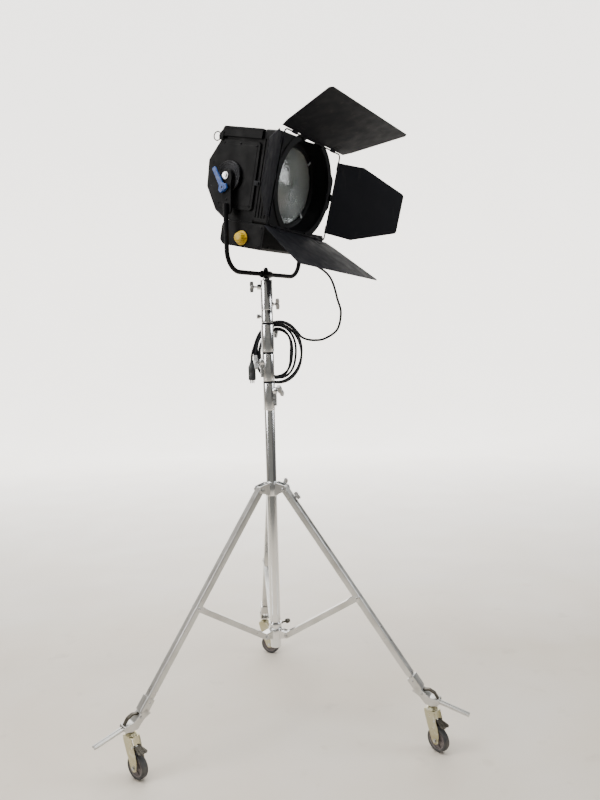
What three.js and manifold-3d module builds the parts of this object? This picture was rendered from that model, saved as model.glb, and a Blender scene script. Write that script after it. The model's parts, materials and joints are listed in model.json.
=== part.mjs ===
// A fresnel spotlight on a wheeled three-legged stand. Millimetres, +Z up.
// The stand's column is on the Z axis; each leg is built in its own radial plane.
import * as THREE from 'three';
import Module from 'manifold-3d';
import { mergeVertices } from 'three/addons/utils/BufferGeometryUtils.js';

const wasm = await Module();
wasm.setup();
const { Manifold, Mesh } = wasm;

// ---------------------------------------------------------------- driving sizes
const GAP = 0.4;                 // running clearance between touching pieces

// column and risers, outermost first
const BASE_R = 23, BASE_BORE = 20.9, BASE_LOW = 330, BASE_TOP = 1503;
const R1 = 20, R1_BORE = 17.8, R2 = 17, R2_BORE = 14.8, R3 = 14;
const COLLAR_R = 25.5, COLLAR_H = 117;
const C1_LOW = 1386, C2_LOW = 1511, C3_LOW = 1636, C4_LOW = 1761, C4_TOP = 1815;
const RECEIVER_TOP = 1941, RECEIVER_R = 26, SPIGOT_R = 14.2;
const TRAVEL_1 = 620, TRAVEL_2 = 600, TRAVEL_3 = 560;

// legs
const LEG_AZ = { left: -145.3, right: -25.3, back: 94.7 };
const HINGE_R = 62, HINGE_Z = 1045;
const FOOT_R = 636, FOOT_Z = 266;
const LEG_W = 34, LEG_D = 28;
const BRACE_AT = 552.8;          // brace pivot, measured down the leg from its hinge
const BRACE_LEN = 390, SPIDER_R = 60, SPIDER_Z = 392;
const BRACE_ELEV = 32.4;
const CASTER_R = 700, CASTER_TOP = 200, WHEEL_R = 50, WHEEL_W = 30;
const TRAIL = 34;                // wheel axle behind the swivel axis
const TRAIL_AZ = { left: -42, right: -54, back: -26 };

// head
const PAN = -34.4, TILT = 12.5, TILT_Z = 2335;
const AXIS_UP = 10;              // optical axis above the tilt axis
const HALF = 222;                // housing half width along the tilt axis
const SHELL_TOP = 176, SHELL_LOW = -163, SHELL_FRONT = 131;
const DOOR_BACK = 132, DOOR_FRONT = 198;
const DOOR_TOP = 192, DOOR_LOW = -162.5, DOOR_PLATE = 8;
const DOOR_CUT = 120;            // corners cut off the door's hinge side
const LENS_R = 154, LENS_BACK = 123;
const RING_BACK = 199, RING_T = 3.4, RING_R = 212, RING_IN = 186;
const FRAME_X = 210, FRAME_V = 182, FRAME_H = 218;
const LEAF_T = 1.6;
const LEAF_ANGLE = { top: 27, bottom: 26, right: 50, left: 62 };
const RING_ROLL = -3;
const YOKE_Z = 1965, YOKE_Y = 268, YOKE_R = 9.5, YOKE_BEND = 82;
const ARM_IN = 252, ARM_OUT = 262;

// cord
const CORD_D = 10;

// ---------------------------------------------------------------- helpers
const rad = (d) => d * Math.PI / 180;
const group = new THREE.Group();

function toManifold(geo) {
  const g = mergeVertices(new THREE.BufferGeometry().copy(stripped(geo)), 1e-4);
  const mesh = new Mesh({
    numProp: 3,
    vertProperties: new Float32Array(g.attributes.position.array),
    triVerts: new Uint32Array(g.index.array),
  });
  return new Manifold(mesh);
}

function stripped(geo) {
  const g = geo.clone();
  for (const name of Object.keys(g.attributes)) {
    if (name !== 'position') g.deleteAttribute(name);
  }
  return g;
}

function toGeometry(m) {
  const out = m.getMesh();
  const g = new THREE.BufferGeometry();
  g.setAttribute('position', new THREE.BufferAttribute(new Float32Array(out.vertProperties), 3));
  g.setIndex(new THREE.BufferAttribute(new Uint32Array(out.triVerts), 1));
  return g;
}

const asSolid = (x) => (x instanceof THREE.BufferGeometry ? toManifold(x) : x);
const join = (...list) => list.map(asSolid).reduce((a, b) => a.add(b));
const cut = (a, ...list) => list.map(asSolid).reduce((x, b) => x.subtract(b), asSolid(a));

// a box given by its low and high corners
function block(x0, x1, y0, y1, z0, z1) {
  return new THREE.BoxGeometry(x1 - x0, y1 - y0, z1 - z0)
    .translate((x0 + x1) / 2, (y0 + y1) / 2, (z0 + z1) / 2);
}

// round bar along Z, X or Y
function barZ(r, z0, z1, x = 0, y = 0, n = 12) {
  return new THREE.CylinderGeometry(r, r, z1 - z0, n)
    .rotateX(Math.PI / 2).translate(x, y, (z0 + z1) / 2);
}
function barX(r, x0, x1, y = 0, z = 0, n = 12) {
  return new THREE.CylinderGeometry(r, r, x1 - x0, n)
    .rotateZ(Math.PI / 2).translate((x0 + x1) / 2, y, z);
}
function barY(r, y0, y1, x = 0, z = 0, n = 12) {
  return new THREE.CylinderGeometry(r, r, y1 - y0, n).translate(x, (y0 + y1) / 2, z);
}

// turned piece: profile of [radius, height] about Z, put in the order that faces out
function turned(profile, n = 16) {
  const pts = profile.map(([r, h]) => new THREE.Vector2(r, h));
  if (THREE.ShapeUtils.area(pts) < 0) pts.reverse();
  return new THREE.LatheGeometry(pts, n).rotateX(Math.PI / 2);
}
const hollowTube = (ro, ri, z0, z1, n = 16) => turned(
  [[ri, z0], [ro, z0], [ro, z1], [ri, z1], [ri, z0]], n);

// plate: outline of [x, z] points, pushed through y0..y1
function plateY(points, y0, y1, holes = []) {
  const s = new THREE.Shape(points.map(([x, z]) => new THREE.Vector2(x, z)));
  for (const [x, z, r] of holes) {
    const h = new THREE.Path();
    h.absarc(x, z, r, 0, Math.PI * 2, true);
    s.holes.push(h);
  }
  return new THREE.ExtrudeGeometry(s, { depth: y1 - y0, bevelEnabled: false, curveSegments: 20 })
    .rotateX(Math.PI / 2).translate(0, y1, 0);
}
// plate: outline of [y, z] points, pushed through x0..x1
function plateX(points, x0, x1) {
  const s = new THREE.Shape(points.map(([y, z]) => new THREE.Vector2(y, z)));
  return new THREE.ExtrudeGeometry(s, { depth: x1 - x0, bevelEnabled: false })
    .rotateX(Math.PI / 2).rotateZ(Math.PI / 2).translate(x0, 0, 0);
}
// plate: outline of [x, y] points, pushed through z0..z1
function plateZ(points, z0, z1) {
  const s = new THREE.Shape(points.map(([x, y]) => new THREE.Vector2(x, y)));
  return new THREE.ExtrudeGeometry(s, { depth: z1 - z0, bevelEnabled: false }).translate(0, 0, z0);
}

// outline of a rectangle with rounded corners
function rounded(x0, x1, y0, y1, r, n = 5) {
  const out = [];
  for (const [cx, cy, a] of [[x1 - r, y1 - r, 0], [x0 + r, y1 - r, 90],
    [x0 + r, y0 + r, 180], [x1 - r, y0 + r, 270]]) {
    for (let i = 0; i <= n; i++) {
      const t = rad(a + 90 * i / n);
      out.push([cx + r * Math.cos(t), cy + r * Math.sin(t)]);
    }
  }
  return out;
}

class Route extends THREE.Curve {
  constructor(points) {
    super();
    this.inner = new THREE.CatmullRomCurve3(points.map((p) => new THREE.Vector3(...p)),
      false, 'centripetal');
  }

  getPoint(t, target) {
    return this.inner.getPointAt(t, target);
  }
}

// round rod or cord along a curve
function rod(curve, r, steps, sides = 10) {
  const s = new THREE.Shape();
  for (let i = 0; i < sides; i++) {
    const t = 2 * Math.PI * i / sides;
    if (i === 0) s.moveTo(r * Math.cos(t), r * Math.sin(t));
    else s.lineTo(r * Math.cos(t), r * Math.sin(t));
  }
  s.closePath();
  return new THREE.ExtrudeGeometry(s, { steps, bevelEnabled: false, extrudePath: curve });
}

// a path of straight runs with rounded corners of radius r
function bent(points, r) {
  const path = new THREE.CurvePath();
  const v = points.map((p) => new THREE.Vector3(...p));
  let from = v[0];
  for (let i = 1; i < v.length - 1; i++) {
    const a = v[i - 1].clone().sub(v[i]).normalize();
    const b = v[i + 1].clone().sub(v[i]).normalize();
    const half = a.angleTo(b) / 2;
    const back = r / Math.tan(half);
    const p = v[i].clone().addScaledVector(a, back);
    const q = v[i].clone().addScaledVector(b, back);
    path.add(new THREE.LineCurve3(from, p));
    const mid = a.clone().add(b).normalize();
    const centre = v[i].clone().addScaledVector(mid, r / Math.sin(half));
    const u = p.clone().sub(centre);
    const w = q.clone().sub(centre);
    const sweep = u.angleTo(w);
    let last = p;
    for (let k = 1; k <= 8; k++) {
      const t = sweep * k / 8;
      const axis = new THREE.Vector3().crossVectors(u, w).normalize();
      const next = centre.clone().add(u.clone().applyAxisAngle(axis, t));
      path.add(new THREE.LineCurve3(last, next));
      last = next;
    }
    from = last;
  }
  path.add(new THREE.LineCurve3(from, v[v.length - 1]));
  return path;
}

// a closed or open rod built as straight facets joined with balls
function wire(points, r, closed = false, n = 6) {
  const list = [];
  const count = closed ? points.length : points.length - 1;
  for (let i = 0; i < count; i++) {
    const a = new THREE.Vector3(...points[i]);
    const b = new THREE.Vector3(...points[(i + 1) % points.length]);
    const d = b.clone().sub(a);
    const g = new THREE.CylinderGeometry(r, r, d.length(), n);
    const q = new THREE.Quaternion().setFromUnitVectors(
      new THREE.Vector3(0, 1, 0), d.clone().normalize());
    g.applyQuaternion(q);
    const m = a.clone().add(b).multiplyScalar(0.5);
    list.push(g.translate(m.x, m.y, m.z));
    list.push(new THREE.SphereGeometry(r, n, 3).translate(b.x, b.y, b.z));
  }
  return join(...list);
}

function put(parent, name, shape, colour, roughness, metalness) {
  const geo = shape instanceof THREE.BufferGeometry ? shape : toGeometry(shape);
  const material = new THREE.MeshStandardMaterial({ color: colour, roughness, metalness });
  const mesh = new THREE.Mesh(geo, material);
  mesh.name = name;
  parent.add(mesh);
  return mesh;
}
const chrome = (parent, name, shape) => put(parent, name, shape, 0xc9ccce, 0.18, 1.0);
const black = (parent, name, shape) => put(parent, name, shape, 0x17181a, 0.6, 0.2);

// ---------------------------------------------------------------- column and risers
// clamp boss on one side of a collar, for its screw
function boss(az, z, out, r = 13) {
  return barX(r, 12, out, 0, z, 12).rotateZ(rad(az));
}

const KNOBS = {
  knob_base: { az: -22, z: 1470, from: 38, stem: 12, span: 46, big: true },
  knob_riser_1: { az: 188, z: 1594, from: 38, stem: 12, span: 46, big: true },
  knob_riser_2: { az: 62, z: 1718, from: 30, stem: 47, span: 34, big: false },
  knob_riser_3: { az: 186, z: 1788, from: 30, stem: 5, span: 20, big: false },
  knob_receiver_low: { az: -8, z: 1839, from: 31, stem: 12, span: 34, big: false },
  knob_receiver_top: { az: 184, z: 1913, from: 41, stem: 18, span: 34, big: false },
};

const screwHole = (k, r = 4.4) => barX(r, 0, 80, 0, k.z, 12).rotateZ(rad(k.az));

const baseTube = cut(
  join(hollowTube(BASE_R, BASE_BORE, BASE_LOW, C1_LOW + 20),
    hollowTube(COLLAR_R, BASE_BORE, C1_LOW, C1_LOW + COLLAR_H),
    cut(boss(-22, 1470, 37, 15), barZ(BASE_BORE, 1400, 1520)),
    cut(block(18, 34, -9, 9, 1405, 1482).rotateZ(rad(-22)), barZ(BASE_BORE, 1390, 1520))),
  screwHole(KNOBS.knob_base));
chrome(group, 'base_column', baseTube);

const riser1 = cut(
  join(hollowTube(R1, R1_BORE, 420, C2_LOW + 20),
    hollowTube(COLLAR_R, R1_BORE, C2_LOW, C2_LOW + COLLAR_H),
    cut(boss(188, 1594, 37, 15), barZ(R1_BORE, 1500, 1640)),
    cut(block(16, 34, -9, 9, 1530, 1606).rotateZ(rad(188)), barZ(R1_BORE, 1500, 1640))),
  screwHole(KNOBS.knob_riser_1));
chrome(group, 'riser_1', riser1);

const riser2 = cut(
  join(hollowTube(R2, R2_BORE, 470, C3_LOW + 20),
    hollowTube(COLLAR_R + 2, R2_BORE, C3_LOW, C3_LOW + COLLAR_H),
    cut(boss(62, 1718, 29.5, 10), barZ(R2_BORE, 1600, 1800))),
  screwHole(KNOBS.knob_riser_2));
chrome(group, 'riser_2', riser2);

const riser3 = cut(
  join(barZ(R3, 520, C4_LOW + 10, 0, 0, 16),
    barZ(COLLAR_R, C4_LOW, C4_TOP, 0, 0, 16),
    barZ(RECEIVER_R, C4_TOP - 1, RECEIVER_TOP, 0, 0, 16),
    boss(184, 1913, 40, 12)),
  barZ(SPIGOT_R + 0.3, C4_TOP + 5, RECEIVER_TOP + 5, 0, 0, 16),
  screwHole(KNOBS.knob_receiver_top), screwHole(KNOBS.knob_receiver_low),
  barX(4.4, 10, 80, 0, 1788, 12).rotateZ(rad(186)));
chrome(group, 'riser_3', riser3);

// clamp screws with wing handles
function knob(name, k) {
  const tip = k.from - (k.big ? 16 : 8);
  const hub = k.from + k.stem;
  const parts = [barX(3.8, tip, hub + 2, 0, 0, 12)];
  if (name === 'knob_riser_3') {
    parts.push(barX(9.5, hub - 5, hub + 9, 0, 0, 16));
  } else {
    const w = k.big ? 9 : 6;
    parts.push(barX(k.big ? 9 : 7, hub - 6, hub + 8, 0, 0, 10));
    parts.push(plateY([[hub - 1, -k.span / 2 - w], [hub + 9, -k.span / 2 - w], [hub + 11, -k.span / 4],
      [hub + 8, 0], [hub + 11, k.span / 4], [hub + 9, k.span / 2 + w], [hub - 1, k.span / 2 + w],
      [hub - 3, 0]], -4.5, 4.5));
  }
  const holder = new THREE.Group();
  holder.rotation.z = rad(k.az);
  holder.position.z = k.z;
  group.add(holder);
  const turn = { knob_base: 50, knob_riser_1: 35, knob_riser_2: 15, knob_receiver_low: 20,
    knob_receiver_top: 0 }[name] ?? 0;
  const mesh = put(holder, name, join(...parts), k.big ? 0x8f9296 : 0x6d7074, 0.45, 0.8);
  mesh.rotation.x = rad(turn);
}
for (const [name, k] of Object.entries(KNOBS)) knob(name, k);

// ---------------------------------------------------------------- leg collar and brace spider
function radial(az) {
  const g = new THREE.Group();
  g.rotation.z = rad(az);
  group.add(g);
  return g;
}
const spin = (geo, az) => geo.rotateZ(rad(az));

const LC = HINGE_Z;              // the collar's clevises carry the leg pivots
let legCollar = hollowTube(30, BASE_R + GAP, LC - 32, LC + 30);
for (const az of Object.values(LEG_AZ)) {
  const ear = (y0, y1) => plateY([[26, -30], [HINGE_R - 4, -14], [HINGE_R + 14, -10], [HINGE_R + 16, 6],
    [HINGE_R + 6, 18], [26, 28]], y0, y1).translate(0, 0, LC);
  const w = LEG_W / 2 + GAP;
  legCollar = join(legCollar, spin(ear(-w - 5, -w), az), spin(ear(w, w + 5), az),
    spin(block(27, 34, -w - 1, w + 1, LC - 24, LC + 22), az),
    spin(barY(4, -w - 8, w + 8, HINGE_R, LC, 10), az));
}
legCollar = cut(legCollar, barZ(BASE_R + GAP, LC - 60, LC + 60, 0, 0, 16));
const lcKnobAz = 22;
legCollar = join(legCollar,
  cut(boss(lcKnobAz, LC + 14, 40, 11), barZ(BASE_R + GAP, LC - 60, LC + 60, 0, 0, 16)));
legCollar = cut(legCollar, barX(4.4, 10, 80, 0, LC + 14, 12).rotateZ(rad(lcKnobAz)));
chrome(group, 'leg_collar', legCollar);
{
  const g = radial(lcKnobAz);
  g.position.z = LC + 14;
  const parts = join(barX(3.8, 26, 64, 0, 0, 12), barX(7, 58, 70, 0, 0, 10),
    plateY([[62, -23], [71, -23], [73, -9], [70, 0], [73, 9], [71, 23], [62, 23], [60, 0]], -4.5, 4.5));
  const m = put(g, 'knob_leg_collar', parts, 0x6d7074, 0.45, 0.8);
  m.rotation.x = rad(25);
}

let spider = hollowTube(30, BASE_R - 1, 369, 418);
for (const az of Object.values(LEG_AZ)) {
  const w = LEG_W / 2;
  spider = join(spider,
    spin(plateY([[26, -20], [SPIDER_R + 2, -12], [SPIDER_R + 11, -4], [SPIDER_R + 11, 6],
      [SPIDER_R, 12], [26, 20]], -w, w).translate(0, 0, SPIDER_Z), az),
    spin(barY(4, -w - 7, w + 7, SPIDER_R, SPIDER_Z, 10), az));
}
spider = cut(spider, barZ(BASE_R + 0.3, 300, 500, 0, 0, 16));
chrome(group, 'brace_spider', spider);

// ---------------------------------------------------------------- legs, braces, feet, casters
const legDir = new THREE.Vector2(FOOT_R - HINGE_R, FOOT_Z - HINGE_Z);
const LEG_LEN = legDir.length();
const LEG_TILT = Math.atan2(FOOT_R - HINGE_R, HINGE_Z - FOOT_Z);   // from vertical

// a piece drawn straight down from the leg hinge (local -Z), then swung out
function alongLeg(geo) {
  return asSolid(geo).rotate([0, -LEG_TILT * 180 / Math.PI, 0]).translate([HINGE_R, 0, HINGE_Z]);
}
const section = rounded(-LEG_D / 2, LEG_D / 2, -LEG_W / 2, LEG_W / 2, 3.5, 2);

function legTop(body) {
  const head = barY(LEG_D / 2, -LEG_W / 2, LEG_W / 2, 0, 0, 10);
  return cut(join(body, head), barY(4.4, -40, 40, 0, 0, 10));
}

function braceFor(parent, side) {
  const w = LEG_W / 2 + GAP;
  const t = 3;
  const cheek = (y0, y1) => plateY([[0, -12], [BRACE_LEN, -12], [BRACE_LEN + 9, -8], [BRACE_LEN + 12, 0],
    [BRACE_LEN + 9, 8], [BRACE_LEN, 12], [0, 12], [-9, 8], [-12, 0], [-9, -8]], y0, y1);
  let g = join(cheek(-w - t, -w), cheek(w, w + t), block(48, BRACE_LEN - 48, -w - 1, w + 1, 9.5, 12),
    barY(6, -w - t - 3, -w - 0.5, BRACE_LEN, 0, 12), barY(6, w + 0.5, w + t + 3, BRACE_LEN, 0, 12));
  g = cut(g, barY(4.4, -60, 60, 0, 0, 10));
  g = g.rotate([0, -BRACE_ELEV, 0]).translate([SPIDER_R, 0, SPIDER_Z]);
  put(parent, `brace_${side}`, g, 0xb7b9b8, 0.35, 0.9);
}

function footFor(parent, side) {
  const w = LEG_W / 2 + GAP;
  const L = LEG_LEN;
  const fit = side === 'right' ? [11.6, 14.6] : [LEG_D / 2 + GAP, LEG_W / 2 + GAP];
  let socket = cut(
    plateZ(rounded(-LEG_D / 2 - 5, LEG_D / 2 + 5, -w - 5, w + 5, 5, 2), -L - 26, -L + 34),
    block(-fit[0], fit[0], -fit[1], fit[1], -L - 20, -L + 60));
  socket = alongLeg(socket);
  const bracket = cut(
    plateY([[640, 262], [668, 244], [694, 222], [734, 214], [738, 198], [712, 190], [680, 190],
      [652, 222], [622, 238]], -w - 5, w + 5),
    plateY([[650, 236], [676, 216], [690, 209], [745, 204], [745, 180], [700, 180], [676, 190],
      [654, 214], [640, 222]], -w, w));
  const stemPlate = block(676, 728, -w - 2, w + 2, CASTER_TOP - 12, CASTER_TOP - 4);
  const stem = barZ(15, CASTER_TOP - 19, CASTER_TOP - 2, CASTER_R, 0, 10);
  const bar = cut(
    plateY([[716, 210], [736, 206], [855, 171], [853, 163], [734, 197], [716, 201]], -13, 13),
    plateY([[750, 210], [842, 180], [841, 172], [749, 199]], -4, 4));
  const arch = plateY([[668, 246], [690, 250], [712, 238], [728, 214], [724, 210], [708, 232],
    [690, 243], [672, 240]], -8, 8);
  let foot = join(bracket, stemPlate, stem, bar, arch);
  foot = cut(foot, alongLeg(block(-fit[0], fit[0], -fit[1], fit[1], -L - 20, -L + 60)));
  foot = join(foot, socket);
  foot = cut(foot, barZ(6.5, CASTER_TOP - 40, CASTER_TOP - 6, CASTER_R, 0, 10));
  chrome(parent, `foot_${side}`, foot);
}

function casterFor(side) {
  const az = rad(LEG_AZ[side]);
  const swivel = new THREE.Group();
  swivel.position.set(CASTER_R * Math.cos(az), CASTER_R * Math.sin(az), 0);
  swivel.rotation.z = rad(TRAIL_AZ[side]);
  group.add(swivel);
  const w = WHEEL_W / 2 + 3;
  const cheek = (y0, y1) => plateY([[-24, 168], [27, 168], [56, 74], [TRAIL + 15, 42], [TRAIL + 5, 34],
    [TRAIL - 6, 34], [TRAIL - 18, 46], [-10, 112], [-24, 156]], y0, y1);
  let fork = join(cheek(-w - 3, -w), cheek(w, w + 3), block(-24, 27, -w - 2.9, w + 2.9, 164, 168),
    turned([[0, 160], [19, 160], [24, 166], [24, 172], [19, 177], [13, 180.6], [0, 180.6]], 12),
    barZ(5.5, 178, CASTER_TOP - 12, 0, 0, 10),
    barY(4, -w - 6, w + 6, TRAIL, WHEEL_R, 10),
    barY(2.6, -w - 4, w + 4, 30, 130, 10));
  put(swivel, `fork_${side}`, fork, 0xa8a377, 0.35, 0.85);
  const half = WHEEL_W / 2;
  const wheel = turned([[4.4, -14], [20, -14], [22, -9], [39, -9], [44, -half], [WHEEL_R, -half + 7],
    [WHEEL_R, half - 7], [44, half], [39, 9], [22, 9], [20, 14], [4.4, 14], [4.4, -14]], 18)
    .rotateX(Math.PI / 2).translate(TRAIL, 0, WHEEL_R);
  put(swivel, `wheel_${side}`, wheel, 0x4a4a4e, 0.75, 0.0);
  let pedal = join(
    plateY([[24, 134], [32, 137], [58, 128], [82, 116], [81, 113], [56, 123], [44, 112], [30, 106],
      [24, 114]], -11, 11),
    plateZ([[46, -13], [84, -22], [88, -16], [88, 16], [84, 22], [46, 13]], 0, 3)
      .rotateY(rad(24)).translate(-5, 0, 149));
  pedal = cut(pedal, barY(3, -30, 30, 30, 130, 12));
  put(swivel, `brake_${side}`, pedal, 0x3b3a36, 0.45, 0.7);
}

for (const side of ['left', 'right', 'back']) {
  const parent = radial(LEG_AZ[side]);
  const L = LEG_LEN;
  if (side !== 'right') {
    chrome(parent, `leg_${side}`, alongLeg(legTop(plateZ(section, -L, -2))));
  } else {
    const shell = cut(legTop(plateZ(section, -L + 44, -2)),
      block(-12, 12, -15, 15, -L - 10, -26),
      block(6, 30, -5, 5, -330, -40));
    chrome(parent, 'leg_right', alongLeg(shell));
    const inner = cut(plateZ(rounded(-11.2, 11.2, -14.2, 14.2, 2.5, 2), -L, -32),
      barX(3.6, -4, 30, 0, -56, 10));
    chrome(parent, 'leg_right_inner', alongLeg(inner));
    const wing = join(barX(3.2, 2, 30, 0, -56, 10), barX(7.5, 15, 20, 0, -56, 12),
      barX(6, 26, 34, 0, -56, 12),
      plateY([[28, -18], [35, -18], [37, -7], [35, 0], [37, 7], [35, 18], [28, 18], [26, 0]], -4, 4)
        .translate(0, 0, -56));
    put(parent, 'knob_level', alongLeg(wing), 0x6d7074, 0.45, 0.8);
  }
  braceFor(parent, side);
  footFor(parent, side);
  casterFor(side);
}

// ---------------------------------------------------------------- yoke and spigot
const panGroup = new THREE.Group();
panGroup.rotation.z = rad(PAN);
group.add(panGroup);

const plateLow = 150;            // arm plates reach this far below the tilt axis
const armPlate = (s) => {
  const z = TILT_Z;
  const outline = [[-22, -plateLow], [22, -plateLow], [24, -40], [30, -12], [28, 12], [14, 27],
    [-14, 27], [-28, 12], [-30, -12], [-24, -40]];
  const g = plateY(outline, s > 0 ? ARM_IN : -ARM_OUT, s > 0 ? ARM_OUT : -ARM_IN, [[0, 0, 7]]);
  return g.translate(0, 0, z);
};
const tubePath = bent([[0, -YOKE_Y, TILT_Z - 108], [0, -YOKE_Y, YOKE_Z], [0, YOKE_Y, YOKE_Z],
  [0, YOKE_Y, TILT_Z - 108]], YOKE_BEND);
const yokeTube = rod(tubePath, YOKE_R, 24, 8);
let yoke = join(yokeTube, armPlate(-1), armPlate(1),
  barY(15, -34, 34, 0, YOKE_Z, 16));
yoke = cut(yoke, barZ(6.4, YOKE_Z - 40, YOKE_Z + 40, 0, 0, 16),
  barY(4.4, -300, -200, -8, TILT_Z - 46, 12));
black(panGroup, 'yoke', yoke);

// stud of the yoke: threaded end through the crossbar, nut on top, grooved body in the receiver
const spigot = turned([[0, YOKE_Z + 27], [5, YOKE_Z + 27], [6, YOKE_Z + 25.5], [6, YOKE_Z - 15.4],
  [13, YOKE_Z - 15.4], [15.5, YOKE_Z - 17], [15.5, RECEIVER_TOP + 1], [SPIGOT_R, RECEIVER_TOP + 0.6],
  [SPIGOT_R, 1920], [11.5, 1917], [11.5, 1907], [SPIGOT_R, 1904], [SPIGOT_R, C4_TOP + 8],
  [SPIGOT_R - 2, C4_TOP + 6], [0, C4_TOP + 6]], 14);
const nut = new THREE.CylinderGeometry(11, 11, 9, 6).rotateX(Math.PI / 2)
  .translate(0, 0, YOKE_Z + 15 + 5.2);
put(panGroup, 'spigot', join(spigot, nut), 0x2b2c2e, 0.4, 0.8);

// ---------------------------------------------------------------- head
const head = new THREE.Group();
head.position.z = TILT_Z;
head.rotation.y = rad(TILT);
panGroup.add(head);

const profile = [[SHELL_FRONT, SHELL_TOP], [-53.4, SHELL_TOP], [-125, 57], [-118, -47], [-60, -133],
  [-10, SHELL_LOW], [SHELL_FRONT, SHELL_LOW]];
const inside = [[SHELL_FRONT + 5, SHELL_TOP - 3], [-51.7, SHELL_TOP - 3], [-121.9, 56.3], [-115.2, -46.2],
  [-57.9, -130.8], [-9.1, SHELL_LOW + 3], [SHELL_FRONT + 5, SHELL_LOW + 3]];
let shell = cut(plateY(profile, -HALF, HALF), plateY(inside, -HALF + 3, HALF - 3));
// cooling slots across the sloping back
for (const z of [78, 98, 118, 138]) {
  const x = -125 + (z - 57) * 80 / 133;
  shell = cut(shell, block(x - 14, x + 14, -150, 150, z - 3, z + 3));
}
black(head, 'housing_shell', shell);

// hood over the top vents, standing proud of both sides
let hood = plateY([[SHELL_FRONT - 1, 190], [-57, 190], [-78.6, 146.4], [-74.4, 143.6], [-54.4, 177],
  [SHELL_FRONT - 1, 176.5]], -HALF - 14, HALF + 14);
for (const x of [-10, 14, 38, 62, 86]) {
  hood = cut(hood, block(x, x + 10, -190, -20, 170, 200), block(x, x + 10, 20, 190, 170, 200));
}
const hoodSides = (s) => block(-38, SHELL_FRONT - 1, s > 0 ? HALF + 10 : -HALF - 14,
  s > 0 ? HALF + 14 : -HALF - 10, 152, 178);
black(head, 'top_hood', join(hood, hoodSides(-1), hoodSides(1)));

// raised side panels with the friction discs of the tilt pivot on them
const sidePanel = (s) => {
  const y0 = s > 0 ? HALF + GAP : -HALF - 9;
  const y1 = s > 0 ? HALF + 9 : -HALF - GAP;
  const outline = [[124, 130], [116, 140], [-57, 140], [-66.6, 134], [-108, 62], [-109, 50], [-103, -42],
    [-98, -54], [-58, -112], [-46, -120], [114, -120], [124, -110]];
  return plateY(outline, y0, y1, [[0, 0, 12.6]]);
};
black(head, 'side_panel_near', sidePanel(-1));
black(head, 'side_panel_far', sidePanel(1));

const pivot = (s) => {
  const profileOf = [[0, HALF + 9.3], [58, HALF + 9.3], [60, HALF + 12], [60, HALF + 22],
    [57, HALF + 25], [12, HALF + 25], [6.6, HALF + 25], [6.6, ARM_OUT + 0.4], [14, ARM_OUT + 0.4],
    [15, ARM_OUT + 2], [15, ARM_OUT + 3], [8, ARM_OUT + 3.4], [8, ARM_OUT + 9], [6, ARM_OUT + 11],
    [0, ARM_OUT + 11]];
  return turned(profileOf, 16).rotateX(s > 0 ? -Math.PI / 2 : Math.PI / 2);
};
put(head, 'tilt_pivot_near', pivot(-1), 0x2e2f31, 0.45, 0.7);
put(head, 'tilt_pivot_far', pivot(1), 0x2e2f31, 0.45, 0.7);

// base box under the housing, with the focus drive and the cord entry
const boxLow = -262, boxTop = SHELL_LOW - 0.5;
let baseBox = cut(
  plateY([[190, boxTop], [-4, boxTop], [-14, -190], [-14, -246], [4, boxLow], [186, boxLow],
    [196, -252], [196, boxTop - 8]], -HALF - 4, HALF + 4),
  block(4, 184, -HALF + 1, HALF - 1, boxLow + 3, boxTop - 3));
baseBox = join(baseBox, block(-8, 14, -HALF - 10, -HALF, -244, -196));
baseBox = cut(baseBox, barY(9, -HALF - 40, -HALF + 20, 96, -226, 16),
  barY(8, HALF - 20, HALF + 40, 60, -214, 10));
black(head, 'base_box', baseBox);

// ---------------------------------------------------------------- lens door
// a square plate on the hinges carries a deep front with its two hinge-side corners cut off
const edge = HALF + 3;
const doorPlate = plateX(rounded(-edge, edge, DOOR_LOW, DOOR_TOP, 16, 3), DOOR_BACK,
  DOOR_BACK + DOOR_PLATE);
const doorDeep = plateX([[-edge + 5, DOOR_LOW], [edge - DOOR_CUT, DOOR_LOW], [edge, DOOR_LOW + DOOR_CUT],
  [edge, DOOR_TOP - DOOR_CUT], [edge - DOOR_CUT, DOOR_TOP], [-edge + 5, DOOR_TOP],
  [-edge, DOOR_TOP - 5], [-edge, DOOR_LOW + 5]], DOOR_BACK + DOOR_PLATE, DOOR_FRONT);
const bowlWall = [[0, DOOR_BACK - 10], [LENS_R - 5, DOOR_BACK - 10], [LENS_R - 3, DOOR_BACK + 6],
  [165, DOOR_BACK + 6], [RING_IN, DOOR_FRONT - 12], [RING_IN, DOOR_FRONT + 10], [0, DOOR_FRONT + 10]];
const bowl = turned(bowlWall, 26).rotateY(Math.PI / 2).translate(0, 0, AXIS_UP);
let door = cut(join(doorPlate, doorDeep), bowl);
for (const x of [143, 157, 171, 185]) {
  door = cut(door, block(x - 2, x + 3, -edge - 7, -edge + 8, DOOR_LOW + 21.5, DOOR_TOP - 36));
}
black(head, 'lens_door', door);

// stepped lens: flat back, concentric prism rings in front
const steps = [];
const rings = 4;
for (let i = 0; i < rings; i++) {
  const r0 = 22 + (LENS_R - 26) * i / rings;
  const r1 = 22 + (LENS_R - 26) * (i + 1) / rings;
  steps.push([r0, 6.4], [r1 - 0.6, 3.6]);
}
const lens = turned([[0, 0], [LENS_R - 0.5, 0], [LENS_R - 0.5, 5.5], [LENS_R - 4, 5.5],
  ...steps.reverse(), [12, 7.6], [0, 8.6]], 24)
  .rotateY(Math.PI / 2).translate(LENS_BACK, 0, AXIS_UP);
put(head, 'fresnel_lens', lens, 0xa9b0ad, 0.12, 0.1);

// ---------------------------------------------------------------- barndoor set
const doorSet = new THREE.Group();
doorSet.position.set(0, 0, AXIS_UP);
doorSet.rotation.x = rad(RING_ROLL);
head.add(doorSet);

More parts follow.
